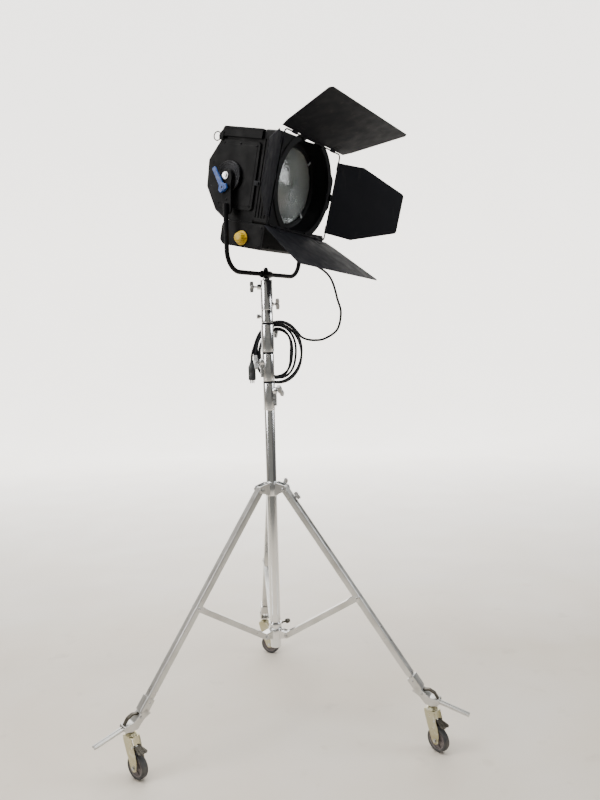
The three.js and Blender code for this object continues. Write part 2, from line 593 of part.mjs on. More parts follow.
const RING_FRONT = RING_BACK + RING_T;
const ring = cut(barX(RING_R, RING_BACK, RING_FRONT, 0, 0, 40),
  barX(RING_IN, RING_BACK - 5, RING_FRONT + 5, 0, 0, 40));
black(doorSet, 'barndoor_ring', ring);

// wire frame that the leaves hinge on, with six feet that bolt to the ring
const frameCorner = (sy, sz) => {
  const out = [];
  const r = 16;
  const start = { '1,1': 0, '-1,1': 90, '-1,-1': 180, '1,-1': 270 }[`${sy},${sz}`];
  for (let i = 0; i <= 2; i++) {
    const t = rad(start + 45 * i);
    out.push([FRAME_X, sy * (FRAME_H - r) + r * Math.cos(t), sz * (FRAME_V - r) + r * Math.sin(t)]);
  }
  return out;
};
let frame = wire([...frameCorner(1, 1), ...frameCorner(-1, 1), ...frameCorner(-1, -1),
  ...frameCorner(1, -1)], 3, true);
// each foot reaches from the ring's face to the middle of a rod
const foot = (y, z) => {
  const side = Math.abs(y) > FRAME_H - 5;
  const [a, b] = side ? [Math.sign(y) * (FRAME_H - 13), Math.sign(y) * (FRAME_H + 1)] : [y - 9, y + 9];
  const [c, d] = side ? [z - 14, z + 14] : [Math.sign(z) * (FRAME_V - 9), Math.sign(z) * (FRAME_V + 1)];
  return block(RING_FRONT + 0.3, FRAME_X - 0.5, Math.min(a, b), Math.max(a, b),
    Math.min(c, d), Math.max(c, d));
};
for (const s of [-1, 1]) {
  frame = join(frame, foot(s * FRAME_H, 0), foot(-70, s * FRAME_V), foot(70, s * FRAME_V));
}
put(doorSet, 'wire_frame', frame, 0x3a3b3d, 0.45, 0.7);

// leaves: flat sheet pieces with curled knuckles around the frame's rods
function leaf(name, side, outline) {
  const holder = new THREE.Group();
  doorSet.add(holder);
  const turn = { top: 0, left: 90, bottom: 180, right: -90 }[side];
  holder.rotation.x = rad(turn);
  const off = side === 'top' || side === 'bottom' ? FRAME_V : FRAME_H;
  const hinge = new THREE.Group();
  hinge.position.set(FRAME_X, 0, off);
  hinge.rotation.y = -rad(LEAF_ANGLE[side]);
  holder.add(hinge);
  const sheet = plateZ(outline, 4.2, 4.2 + LEAF_T);
  const half = Math.abs(outline[0][1]) - 16;
  let body = asSolid(sheet);
  for (const s of [-1, 1]) {
    const y = s * Math.min(half, 150);
    const sleeve = cut(join(barY(5.2, y - 16, y + 16, 0, 0, 10), block(0, 14, y - 16, y + 16, 3, 5)),
      barY(3.5, y - 20, y + 20, 0, 0, 10));
    body = join(body, sleeve);
  }
  put(hinge, name, body, 0x2a2b2f, 0.65, 0.1);
}
const bigLeaf = [[2, -240], [2, 240], [34, 258], [262, 330], [272, 318], [272, -318], [262, -330],
  [34, -258]];
const smallLeaf = [[2, -150], [2, 150], [122, 156], [326, 86], [332, 78], [332, -78], [326, -86],
  [122, -156]];
leaf('leaf_top', 'top', bigLeaf);
leaf('leaf_bottom', 'bottom', bigLeaf);
leaf('leaf_right', 'left', smallLeaf);
leaf('leaf_left', 'right', smallLeaf);

// ---------------------------------------------------------------- lamp and focus drive
const CAR_X = 25;                // lamp centre, measured from the tilt axis
const railZ = -120;
let rails = join(barX(5, -56, 118, -60, railZ, 12), barX(5, -56, 118, 60, railZ, 12),
  block(-58, -53, -72, 72, railZ - 6, railZ + 8), block(112, 118, -72, 72, -159.5, railZ + 8));
rails = cut(rails, barX(5.2, 100, 130, 0, railZ, 12), barX(5.2, -70, -40, 0, railZ, 12));
put(head, 'lamp_rails', rails, 0xa6a8aa, 0.4, 0.9);

let carriage = cut(
  join(block(CAR_X - 26, CAR_X + 26, -78, 78, railZ - 9, railZ + 9),
    block(CAR_X - 13, CAR_X + 13, -30, 30, railZ + 8, -74),
    barZ(17, -76, -62, CAR_X, 0, 16), block(CAR_X - 62, CAR_X - 20, -8, 8, railZ + 2, railZ + 9),
    block(CAR_X - 62, CAR_X - 55, -8, 8, railZ + 2, -50)),
  barX(5.5, CAR_X - 40, CAR_X + 40, -60, railZ, 12), barX(5.5, CAR_X - 40, CAR_X + 40, 60, railZ, 12),
  barX(5.5, CAR_X - 70, CAR_X + 40, 0, railZ, 12));
put(head, 'lamp_carriage', carriage, 0x9a9c9e, 0.5, 0.7);

const lamp = turned([[0, -61.6], [15, -61.6], [15, -36], [12, -32], [13, -24], [24, -12], [30, 6],
  [30, 26], [24, 44], [12, 54], [0, 56]], 16).translate(CAR_X, 0, 0);
put(head, 'lamp', lamp, 0xe8e6de, 0.1, 0.0);

const bowlOut = [];
const bowlIn = [];
for (let i = 0; i <= 5; i++) {
  const t = rad(4 + 66 * i / 5);
  bowlOut.push([72 * Math.sin(t), -72 * Math.cos(t)]);
  bowlIn.unshift([70 * Math.sin(t), -70 * Math.cos(t)]);
}
const mirror = turned([...bowlOut, ...bowlIn, bowlOut[0]], 14)
  .rotateY(Math.PI / 2).translate(CAR_X, 0, 6);
put(head, 'reflector', join(mirror, block(CAR_X - 54.6, CAR_X - 51, -8, 8, -76, -40)), 0xd9dadb, 0.08, 1.0);

// focus spindle under the carriage, turned by the knob through the base box
const focus = new THREE.Group();
focus.position.set(96, 0, -226);
head.add(focus);
// a flange with a slit across it, and a narrower grip in front
const knobShape = turned([[0, -8], [6, -8], [6, 5], [27, 5], [29, 7], [29, 11], [24, 13], [21, 15],
  [19.5, 29], [16, 33], [8, 34.5], [0, 34.5]], 18);
const slit = block(-32, 32, -2, 2, 8, 14);
put(focus, 'focus_knob', cut(knobShape, slit).rotate([90, 0, 0]).translate([0, -HALF - 1, 0]),
  0xd9c23a, 0.4, 0.0);

// blue clamping lever on the near arm
const leverGroup = new THREE.Group();
leverGroup.position.set(-8, -ARM_OUT - 0.5, TILT_Z - 46);
leverGroup.rotation.y = rad(-26);
panGroup.add(leverGroup);
const leverBody = join(
  barY(3.8, -18, 9, 0, 0, 12),
  barY(14, -16, -1, 0, 0, 10),
  barY(19, -4.4, -1, 0, -2, 16),
  plateY([[-14, -4], [14, -4], [9, 50], [5, 92], [-5, 92], [-9, 50]], -15, -4));
put(leverGroup, 'tilt_lever', leverBody, 0x1f5fae, 0.4, 0.0);

// ---------------------------------------------------------------- cord, coil and plug
const exit = new THREE.Vector3(60, HALF + 6, -214)
  .applyAxisAngle(new THREE.Vector3(0, 1, 0), rad(TILT))
  .add(new THREE.Vector3(0, 0, TILT_Z))
  .applyAxisAngle(new THREE.Vector3(0, 0, 1), rad(PAN));
const out = new THREE.Vector3(0, 1, 0).applyAxisAngle(new THREE.Vector3(0, 0, 1), rad(PAN));
const cordPoints = [
  exit.clone().toArray(),
  exit.clone().addScaledVector(out, 34).add(new THREE.Vector3(0, 0, -8)).toArray(),
  exit.clone().addScaledVector(out, 40).add(new THREE.Vector3(6, -20, -60)).toArray(),
  [275, 110, 1965], [312, 80, 1850], [322, 60, 1795], [304, 52, 1725], [250, 48, 1688],
  [206, 46, 1681], [170, 46, 1686], [142.6, 46, 1692],
];
group.updateMatrixWorld(true);
put(group, 'cord_free', rod(new Route(cordPoints), CORD_D / 2, 32, 8), 0x1f222b, 0.6, 0.0);

const COIL = { x: 45, y: 46, z: 1631, r: 92, s: 14, stretch: 1.29 };
const coilProfile = [];
for (let i = 0; i <= 10; i++) {
  const t = 2 * Math.PI * i / 10;
  coilProfile.push([COIL.r + COIL.s * Math.cos(t), COIL.s * Math.sin(t)]);
}
const coil = turned(coilProfile, 20).rotateX(Math.PI / 2).scale(1, 1, COIL.stretch)
  .translate(COIL.x, COIL.y, COIL.z);
put(group, 'cord_coil', coil, 0x1f222b, 0.6, 0.0);

const plug = turned([[0, 1513], [3, 1513], [3, 1518], [15, 1518], [16.5, 1520], [16.5, 1572],
  [11, 1582], [7.5, 1600], [0, 1600]], 16).translate(-72, 46, 0);
put(group, 'plug', plug, 0x2d3034, 0.5, 0.0);

// ---------------------------------------------------------------- stand it on the origin
group.updateMatrixWorld(true);
const bounds = new THREE.Box3();
group.traverse((o) => {
  if (o.isMesh && !o.name.startsWith('cord') && o.name !== 'plug') bounds.expandByObject(o, true);
});
const centre = bounds.getCenter(new THREE.Vector3());
group.position.set(-centre.x, -centre.y, -bounds.min.z);
group.updateMatrixWorld(true);
export default group;
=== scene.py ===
"""A fresnel spotlight on a wheeled stand: the looks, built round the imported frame.

Local shapes are drawn in millimetres, in the frame of the piece that they belong to, and placed in
metres.
"""
import json
import math

import bmesh
import bpy
from mathutils import Matrix, Vector


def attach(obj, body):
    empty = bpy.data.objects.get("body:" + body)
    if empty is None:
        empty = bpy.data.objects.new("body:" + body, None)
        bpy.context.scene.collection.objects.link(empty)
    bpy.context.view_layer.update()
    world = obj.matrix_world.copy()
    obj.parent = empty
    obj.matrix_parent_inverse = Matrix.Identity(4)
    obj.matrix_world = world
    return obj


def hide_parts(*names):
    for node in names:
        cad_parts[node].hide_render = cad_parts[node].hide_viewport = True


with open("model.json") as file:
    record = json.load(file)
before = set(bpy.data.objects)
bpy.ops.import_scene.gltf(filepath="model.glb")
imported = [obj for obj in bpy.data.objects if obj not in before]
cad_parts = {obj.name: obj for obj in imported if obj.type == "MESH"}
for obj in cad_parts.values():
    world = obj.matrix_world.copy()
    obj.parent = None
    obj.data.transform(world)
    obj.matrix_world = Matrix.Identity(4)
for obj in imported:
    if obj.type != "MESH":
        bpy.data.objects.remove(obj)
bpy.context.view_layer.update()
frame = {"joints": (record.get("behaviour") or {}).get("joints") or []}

MM = 0.001

# ---- driving sizes, in millimetres
# legs and casters
HINGE_R, SPIDER_R = 62, 60
FOOT_R, FOOT_Z = 636, 266
LEG_W, LEG_D = 34, 28
BRACE_LEN, BRACE_ELEV = 390, 32.4
CASTER_R, CASTER_TOP, TRAIL, AXLE_Z = 700, 200, 34, 50
# yoke
YOKE_Z, YOKE_Y, YOKE_R, YOKE_BEND = 1965, 268, 9.5, 82
ARM_IN, ARM_OUT = 252, 262
# lamp head, measured from the tilt axis
AXIS_UP = 10
HALF = 222
SHELL_TOP, SHELL_LOW, SHELL_FRONT = 176, -163, 131
BOX_LOW, BOX_TOP = -262, SHELL_LOW - 0.5
GLAND = (60, 0, -214)
LAMP_X, RAIL_Z = 25, -120
# lens door and barndoor
DOOR_BACK, DOOR_FRONT, DOOR_PLATE = 132, 198, 8
DOOR_LOW, DOOR_TOP, DOOR_CUT = -162.5, 192, 120
DOOR_HINGE = (131, 229, 0)
HINGE_SPANS = ((-124, -62), (72, 134))
LENS_R = 154
RING_IN, RING_OUT, RING_BACK, RING_FRONT = 186, 212, 199, 202.4
RING_ROLL = -3
FRAME_X, FRAME_V, FRAME_H = 210, 182, 218
LEAF_T = 1.6
# mains cable and its hank
CORD_D = 10
COIL = {"x": 45, "y": 46, "z": 1631, "r": 92, "stretch": 1.29}
TURNS_FROM, TURNS_TO = 40, 5 * 360 + 163
BUNDLE = 13.5
# places along the hank, in degrees, where a turn hangs off the bundle: at, depth, width
SLACK = [(715, 30, 62), (1075, 21, 50), (1430, 9, 40), (940, -7, 50), (1650, -6, 60)]
# studio, in metres
# painted light: how strongly the sweep glows at the back, though it is no lamp
PAINTED_GLOW = 2.6
SWEEP_FLOOR, SWEEP_BEND, SWEEP_WALL = 7.0, 3.0, 9


# ---- places taken from the frame
def rad(degrees):
    return math.radians(degrees)


def joint(name):
    return next(j for j in frame["joints"] if j["name"] == name)


def azimuth_of(v):
    return math.degrees(math.atan2(v[1], v[0]))


def basis(origin, x, y, z):
    """Matrix of a local frame, from millimetres to metres."""
    m = Matrix.Identity(4)
    for i, v in enumerate((x, y, z)):
        m.col[i][:3] = Vector(v) * MM
    m.col[3][:3] = Vector(origin)
    return m


def turned_about(axis, degrees):
    return Matrix.Rotation(rad(degrees), 4, axis)


def shift(x, y, z):
    return Matrix.Translation((x, y, z))


pan_pos = Vector(joint("pan")["pos_m"])
COLUMN = Vector((pan_pos.x, pan_pos.y, 0))
STAND = basis(COLUMN, (1, 0, 0), (0, 1, 0), (0, 0, 1))

tilt = joint("tilt")
PIVOT = Vector(tilt["pos_m"])
SIDE = -Vector(tilt["axis"])
HEAD_UP = Vector(joint("lens_door_swing")["axis"])
HEAD = basis(PIVOT, SIDE.cross(HEAD_UP), SIDE, HEAD_UP)
PAN = basis(COLUMN, SIDE.cross(Vector((0, 0, 1))), SIDE, (0, 0, 1))
TILT_Z = PIVOT.z / MM
RING = HEAD @ shift(0, 0, AXIS_UP) @ turned_about("X", RING_ROLL)

LEG_AZ = {}
for side_name in ("left", "right", "back"):
    LEG_AZ[side_name] = azimuth_of(Vector(joint(f"leg_{side_name}_fold")["pos_m"]) - COLUMN)
HINGE_Z = joint("leg_left_fold")["pos_m"][2] / MM
SPIDER_Z = joint("brace_left_fold")["pos_m"][2] / MM
LEG_LEN = math.hypot(FOOT_R - HINGE_R, HINGE_Z - FOOT_Z)
LEG_TILT = math.degrees(math.atan2(FOOT_R - HINGE_R, HINGE_Z - FOOT_Z))


def radial(azimuth):
    return STAND @ turned_about("Z", azimuth)


def along_leg(side):
    return radial(LEG_AZ[side]) @ shift(HINGE_R, 0, HINGE_Z) @ turned_about("Y", -LEG_TILT)


# ---- camera and light
CAMERA_BACK, CAMERA_UP = 3.2246, 1.7267
CAMERA_YAW, CAMERA_PITCH, CAMERA_ROLL = 2.349, 5.332, -1.318
LENS_MM = 33.75


def add_camera():
    data = bpy.data.cameras.new("camera")
    data.lens = LENS_MM
    data.sensor_width = 36
    data.clip_end = 200
    cam = bpy.data.objects.new("camera", data)
    bpy.context.scene.collection.objects.link(cam)
    yaw, pitch, roll = rad(CAMERA_YAW), rad(CAMERA_PITCH), rad(CAMERA_ROLL)
    forward = Vector((math.sin(yaw) * math.cos(pitch), math.cos(yaw) * math.cos(pitch),
                      -math.sin(pitch)))
    right = Vector((math.cos(yaw), -math.sin(yaw), 0))
    up = right.cross(forward)
    right, up = (math.cos(roll) * right + math.sin(roll) * up,
                 -math.sin(roll) * right + math.cos(roll) * up)
    m = Matrix.Identity(4)
    for i, v in enumerate((right, up, -forward)):
        m.col[i][:3] = v
    m.col[3][:3] = COLUMN + Vector((0, -CAMERA_BACK, CAMERA_UP))
    cam.matrix_world = m
    bpy.context.scene.camera = cam


def add_light(name, place, aim, size, power, colour):
    data = bpy.data.lights.new(name, "AREA")
    data.shape = "DISK"
    data.size = size
    data.energy = power
    data.color = colour
    lamp = bpy.data.objects.new(name, data)
    bpy.context.scene.collection.objects.link(lamp)
    lamp.location = COLUMN + Vector(place)
    to = COLUMN + Vector(aim) - lamp.location
    lamp.rotation_euler = to.to_track_quat("-Z", "Y").to_euler()


def add_studio():
    world = bpy.data.worlds.new("studio")
    bpy.context.scene.world = world
    world.use_nodes = True
    background = world.node_tree.nodes["Background"]
    background.inputs[0].default_value = (0.90, 0.89, 0.87, 1)
    background.inputs[1].default_value = 1.0
    add_light("soft_top", (-0.6, -0.4, 4.6), (0, 0, 1.0), 3.0, 200, (1.0, 0.985, 0.95))
    add_light("soft_left", (-3.6, -1.6, 3.0), (0, 0, 1.6), 2.2, 90, (1.0, 0.98, 0.95))
    add_light("soft_right", (3.4, -0.4, 3.0), (0, 0, 1.8), 2.0, 70, (0.97, 0.985, 1.0))


# ---- materials
LOOKS = {}


class Look:
    """A material's node tree, built up by small steps."""

    def __init__(self, name, colour, roughness, metallic=0.0):
        self.material = bpy.data.materials.new(name)
        self.material.use_nodes = True
        self.tree = self.material.node_tree
        self.shader = self.tree.nodes["Principled BSDF"]
        self.give("Metallic", metallic)
        self.give("Base Color", (*colour, 1))
        self.give("Roughness", roughness)
        self.colour = colour
        self.place = self.node("ShaderNodeTexCoord").outputs["Object"]
        self.height = None
        LOOKS[name] = self.material

    def node(self, kind, **values):
        n = self.tree.nodes.new(kind)
        for key, value in values.items():
            if key in n.inputs:
                n.inputs[key].default_value = value
            else:
                setattr(n, key, value)
        return n

    def link(self, a, b):
        self.tree.links.new(a, b)

    def product(self, a, b):
        n = self.node("ShaderNodeMath", operation="MULTIPLY")
        self.link(a, n.inputs[0])
        self.link(b, n.inputs[1])
        return n.outputs[0]

    def give(self, name, value):
        self.shader.inputs[name].default_value = value

    def noise(self, scale, detail=4.0, stretch=(1, 1, 1)):
        mapping = self.node("ShaderNodeMapping", Scale=stretch)
        self.link(self.place, mapping.inputs["Vector"])
        n = self.node("ShaderNodeTexNoise", Scale=scale, Detail=detail)
        self.link(mapping.outputs[0], n.inputs["Vector"])
        return n.outputs["Fac"]

    def cells(self, scale):
        n = self.node("ShaderNodeTexVoronoi", Scale=scale)
        self.link(self.place, n.inputs["Vector"])
        return n.outputs["Distance"]

    def spread(self, source, a, b, start=0.3, end=0.7):
        ends = {"From Min": start, "From Max": end, "To Min": a, "To Max": b}
        n = self.node("ShaderNodeMapRange", **ends)
        self.link(source, n.inputs["Value"])
        return n.outputs["Result"]

    def tint(self, source, other, start=0.35, end=0.65):
        """Blends the base colour towards another where the source is high."""
        mix = self.node("ShaderNodeMix", data_type="RGBA")
        slot = self.shader.inputs["Base Color"]
        if slot.is_linked:
            self.link(slot.links[0].from_socket, mix.inputs[6])
        else:
            mix.inputs[6].default_value = (*self.colour, 1)
        mix.inputs[7].default_value = (*other, 1)
        self.link(self.spread(source, 0, 1, start, end), mix.inputs[0])
        self.link(mix.outputs[2], slot)

    def rough(self, source, a, b, start=0.3, end=0.7):
        self.link(self.spread(source, a, b, start, end), self.shader.inputs["Roughness"])

    def bump(self, source, depth, strength=1.0):
        n = self.node("ShaderNodeBump", Distance=depth, Strength=strength)
        self.link(source, n.inputs["Height"])
        if self.height is not None:
            self.link(self.height, n.inputs["Normal"])
        self.height = n.outputs["Normal"]
        self.link(self.height, self.shader.inputs["Normal"])

    def edges(self, other, radius=0.0012, start=0.80, end=0.97):
        """Rubs the edges through to another colour."""
        bevel = self.node("ShaderNodeBevel", samples=4, Radius=radius)
        geometry = self.node("ShaderNodeNewGeometry")
        dot = self.node("ShaderNodeVectorMath", operation="DOT_PRODUCT")
        self.link(bevel.outputs[0], dot.inputs[0])
        self.link(geometry.outputs["Normal"], dot.inputs[1])
        worn = self.spread(dot.outputs["Value"], 1, 0, start, end)
        patchy = self.spread(self.noise(46, 5), 0, 1, 0.47, 0.60)
        self.tint(self.product(worn, patchy), other, 0.1, 0.9)


def metal(name, colour, low, high, other, grain=2600, depth=0.00003, stretch=(1, 1, 1)):
    look = Look(name, colour, low, 1.0)
    look.rough(look.noise(34, 6, stretch), low, high)
    look.tint(look.noise(9, 5, stretch), other, 0.42, 0.75)
    look.bump(look.noise(grain, 3, stretch), depth, 0.6)
    return look


def paint(name, colour, roughness, other, peel=900, depth=0.00006):
    look = Look(name, colour, roughness, 0.0)
    look.rough(look.noise(22, 6), roughness - 0.08, roughness + 0.1)
    look.tint(look.noise(5, 7), other, 0.5, 0.8)
    look.bump(look.cells(peel), depth, 0.8)
    return look


# colour, roughness, lowest and highest roughness, its noise, second colour, its noise, where that
# starts and ends, and the grain's noise with its depth and strength
PLAIN = {
    "cord_rubber": ((0.0045, 0.0055, 0.0095), 0.55, 0.42, 0.62, (60, 5), (0.008, 0.0095, 0.014), (18, 6),
                    0.5, 0.75, (900, 3, 0.00005, 0.5)),
    "plug_black": ((0.03, 0.032, 0.036), 0.38, 0.3, 0.5, (90, 5), (0.05, 0.052, 0.056), (30, 6),
                   0.5, 0.75, (1300, 3, 0.00004, 0.4)),
    "tyre_grey": ((0.050, 0.050, 0.053), 0.7, 0.6, 0.85, (70, 5), (0.115, 0.11, 0.10), (26, 7),
                  0.46, 0.75, (700, 4, 0.00012, 0.5)),
    "hub_plastic": ((0.145, 0.125, 0.128), 0.5, 0.42, 0.62, (80, 4), (0.20, 0.18, 0.175), (40, 6),
                    0.48, 0.75, (1200, 3, 0.00004, 0.4)),
    "knob_yellow": ((0.56, 0.37, 0.008), 0.42, 0.34, 0.55, (90, 5), (0.42, 0.26, 0.01), (50, 7),
                    0.52, 0.8, (1100, 3, 0.00005, 0.5)),
    "lever_blue": ((0.002, 0.045, 0.23), 0.42, 0.3, 0.5, (90, 5), (0.004, 0.035, 0.16), (50, 7),
                   0.5, 0.8, (1100, 3, 0.00005, 0.5)),
}


def build_looks():
    chrome = metal("chrome_tube", (0.79, 0.80, 0.81), 0.10, 0.24, (0.62, 0.63, 0.64), 1400, 0.00002,
                   (1, 1, 0.08))
    chrome.bump(chrome.noise(60, 3, (1, 1, 0.2)), 0.00004, 0.5)
    leg = metal("chrome_leg", (0.66, 0.665, 0.66), 0.26, 0.42, (0.50, 0.50, 0.49), 1200, 0.00003)
    leg.bump(leg.noise(300, 4, (1, 1, 0.1)), 0.00003, 0.5)
    cast = metal("cast_grey", (0.40, 0.405, 0.41), 0.36, 0.55, (0.28, 0.28, 0.285), 1500, 0.00012)
    cast.bump(cast.cells(800), 0.00005, 0.5)
    zinc = metal("zinc_olive", (0.52, 0.50, 0.36), 0.24, 0.42, (0.42, 0.38, 0.22), 900, 0.00003)
    zinc.tint(zinc.noise(55, 5), (0.60, 0.60, 0.52), 0.52, 0.7)
    dark = metal("brake_steel", (0.085, 0.08, 0.07), 0.34, 0.5, (0.13, 0.12, 0.10), 900, 0.00004)
    dark.edges((0.30, 0.29, 0.27))
    steel = metal("dark_steel", (0.016, 0.0165, 0.018), 0.38, 0.55, (0.01, 0.01, 0.0105), 1400, 0.00003)
    steel.edges((0.16, 0.16, 0.165), 0.0008)
    metal("bright_steel", (0.58, 0.59, 0.60), 0.2, 0.38, (0.42, 0.42, 0.42), 1800, 0.00002)
    mirror = metal("mirror", (0.86, 0.86, 0.87), 0.04, 0.12, (0.8, 0.8, 0.81), 700, 0.00001)
    mirror.bump(mirror.cells(260), 0.00004, 0.3)

    coat = paint("black_coat", (0.0035, 0.0036, 0.0042), 0.5, (0.006, 0.006, 0.0066), 1100, 0.00007)
    coat.give("Specular IOR Level", 0.10)
    coat.edges((0.03, 0.03, 0.032))
    coat.tint(coat.noise(120, 8), (0.010, 0.010, 0.0105), 0.6, 0.78)
    leaf = paint("leaf_black", (0.0125, 0.0130, 0.0165), 0.6, (0.0155, 0.0160, 0.0195), 1500, 0.00004)
    leaf.give("Specular IOR Level", 0.07)
    leaf.edges((0.05, 0.05, 0.05), 0.001)
    scuff = leaf.noise(30, 9, (1, 1, 0.15))
    leaf.tint(scuff, (0.024, 0.024, 0.026), 0.62, 0.74)
    leaf.bump(leaf.noise(7, 2), 0.0006, 0.35)

    for name, row in PLAIN.items():
        colour, roughness, low, high, rough_at, other, tint_at, start, end, grain = row
        look = Look(name, colour, roughness)
        look.rough(look.noise(*rough_at), low, high)
        look.tint(look.noise(*tint_at), other, start, end)
        look.bump(look.noise(*grain[:2]), *grain[2:])
        if name == "cord_rubber":
            look.give("Specular IOR Level", 0.25)
    ceramic = Look("ceramic", (0.72, 0.70, 0.65), 0.35)
    ceramic.tint(ceramic.noise(60, 5), (0.60, 0.57, 0.50), 0.5, 0.75)
    ceramic.bump(ceramic.noise(900, 3), 0.00005, 0.4)
    glass = Look("lens_glass", (0.90, 0.94, 0.92), 0.06)
    glass.give("Transmission Weight", 0.9)
    glass.give("IOR", 1.47)
    glass.rough(glass.noise(40, 5), 0.05, 0.16)
    glass.tint(glass.noise(26, 6), (0.78, 0.82, 0.80), 0.5, 0.8)
    glass.bump(glass.cells(260), 0.0006, 0.45)
    bulb = Look("bulb_glass", (0.96, 0.96, 0.95), 0.04)
    bulb.give("Transmission Weight", 0.96)
    bulb.give("IOR", 1.46)
    bulb.rough(bulb.noise(60, 4), 0.02, 0.12)
    bulb.tint(bulb.noise(30, 5), (0.86, 0.86, 0.85), 0.55, 0.8)

    floor = Look("studio_sweep", (0.60, 0.545, 0.47), 0.6)
    floor.rough(floor.noise(3, 5), 0.55, 0.8)
    floor.tint(floor.noise(1.4, 6), (0.64, 0.60, 0.54), 0.4, 0.7)
    floor.tint(floor.noise(7, 8), (0.52, 0.475, 0.41), 0.62, 0.8)
    floor.bump(floor.noise(40, 5), 0.0005, 0.4)
    parts = floor.node("ShaderNodeSeparateXYZ")
    floor.link(floor.place, parts.inputs[0])
    # painted shade: the sweep's colour is darkened behind the camera, far out on the right and partly
    # far out on the left, where the room is dark
    floor.tint(floor.spread(parts.outputs["Y"], 1, 0, -3.6, -2.4), (0.24, 0.24, 0.23), 0, 1)
    floor.tint(floor.spread(parts.outputs["X"], 0, 1, 5.4, 6.4), (0.08, 0.08, 0.08), 0, 1)
    floor.tint(floor.spread(parts.outputs["X"], 0, 0.6, -5.0, -6.5), (0.08, 0.08, 0.08), 0, 1)
    # painted light: the sweep glows, brighter towards the back and fading out far to either side, though
    # it is no lamp
    floor.give("Emission Color", (1.0, 0.985, 0.955, 1))
    painted_glow = floor.spread(parts.outputs["Y"], 0.0, PAINTED_GLOW, 0.5, 7.0)
    for source, start, end in ((parts.outputs["X"], 6.4, 5.4), (parts.outputs["X"], -9.0, -5.5)):
        painted_glow = floor.product(painted_glow, floor.spread(source, 0.03, 1, start, end))
    floor.link(painted_glow, floor.shader.inputs["Emission Strength"])


def add_floor():
    """A round studio sweep: flat floor that curves up into a wall on every side."""
    wall = [(0, 0), (2, 0), (4, 0), (SWEEP_FLOOR, 0)]
    wall += [(SWEEP_FLOOR + SWEEP_BEND * math.sin(rad(6 * k)), SWEEP_BEND * (1 - math.cos(rad(6 * k))))
             for k in range(1, 16)]
    wall.append((SWEEP_FLOOR + SWEEP_BEND, SWEEP_BEND + SWEEP_WALL))
    mesh = to_mesh("studio_sweep", [lathe(wall, 96)], Matrix.Identity(4))
    obj = bpy.data.objects.new("studio_sweep", mesh)
    obj.location.z = -0.0005
    bpy.context.scene.collection.objects.link(obj)
    mesh.shade_smooth()
    obj.data.materials.append(LOOKS["studio_sweep"])


# ---- shape tools, in millimetres
PLANES = {
    "xy": lambda u, v, w: (u, v, w),
    "xz": lambda u, v, w: (u, w, v),
    "yz": lambda u, v, w: (w, u, v),
}


# turns a piece made along Z to lie along each axis
ALONG = {"Z": Matrix.Identity(4), "X": turned_about("Y", 90), "Y": turned_about("X", -90)}


def moved(part, matrix):
    verts, faces = part
    return [tuple(matrix @ Vector(v)) for v in verts], faces


def lathe(profile, n=64, axis="Z", at=(0, 0, 0)):
    """Turned piece from [radius, height] points; the profile closes on itself or on the axis."""
    closed = profile[0] == profile[-1]
    points = profile[:-1] if closed else profile
    verts, faces, rings = [], [], []
    for r, h in points:
        if r < 1e-6:
            rings.append([len(verts)])
            verts.append((0, 0, h))
        else:
            rings.append([len(verts) + i for i in range(n)])
            for i in range(n):
                a = 2 * math.pi * i / n
                verts.append((r * math.cos(a), r * math.sin(a), h))
    pairs = list(zip(rings, rings[1:])) + ([(rings[-1], rings[0])] if closed else [])
    for a, b in pairs:
        for i in range(n):
            j = (i + 1) % n
            if len(a) == 1 and len(b) == 1:
                continue
            if len(a) == 1:
                faces.append((a[0], b[i], b[j]))
            elif len(b) == 1:
                faces.append((a[i], b[0], a[j]))
            else:
                faces.append((a[i], b[i], b[j], a[j]))
    return moved((verts, faces), shift(*at) @ ALONG[axis])


def bar(r, a, b, axis="Z", at=(0, 0, 0), n=32, soft=0.5):
    """Round bar with softened ends."""
    s = min(soft, r * 0.4, abs(b - a) * 0.3)
    return lathe([(0, a), (r - s, a), (r - s * 0.3, a + s * 0.3), (r, a + s), (r, b - s),
                  (r - s * 0.3, b - s * 0.3), (r - s, b), (0, b)], n, axis, at)


def hexagon(across, a, b, axis="Z", at=(0, 0, 0)):
    r = across / math.sqrt(3)
    return lathe([(0, a), (r * 0.93, a), (r, a + 0.6), (r, b - 0.6), (r * 0.93, b), (0, b)], 6, axis, at)


def prism(outline, a, b, plane="xy"):
    place = PLANES[plane]
    n = len(outline)
    verts = [place(u, v, a) for u, v in outline] + [place(u, v, b) for u, v in outline]
    faces = [tuple(range(n)), tuple(range(n, 2 * n))]
    faces += [(i, (i + 1) % n, (i + 1) % n + n, i + n) for i in range(n)]
    return verts, faces


def slab(x0, x1, y0, y1, z0, z1):
    return prism([(x0, y0), (x1, y0), (x1, y1), (x0, y1)], z0, z1)


def rounded(points, r, n=5):
    """Outline with every corner rounded to radius r, or to one radius each."""
    out = []
    count = len(points)
    radii = r if isinstance(r, (list, tuple)) else [r] * count
    for i, p in enumerate(points):
        p = Vector(p)
        a = Vector(points[i - 1]) - p
        b = Vector(points[(i + 1) % count]) - p
        half = a.angle(b) / 2
        back = min(radii[i] / math.tan(half), a.length * 0.48, b.length * 0.48)
        size = back * math.tan(half)
        if size < 1e-3:
            out.append(tuple(p))
            continue
        a.normalize()
        b.normalize()
        centre = p + (a + b).normalized() * (size / math.sin(half))
        start = p + a * back - centre
        end = p + b * back - centre
        sweep = math.atan2(start.x * end.y - start.y * end.x, start.dot(end))
        for k in range(n + 1):
            t = sweep * k / n
            c, s = math.cos(t), math.sin(t)
            out.append((centre.x + start.x * c - start.y * s, centre.y + start.x * s + start.y * c))
    return out


def oblong(x0, x1, y0, y1, r, n=5):
    return rounded([(x0, y0), (x1, y0), (x1, y1), (x0, y1)], r, n)


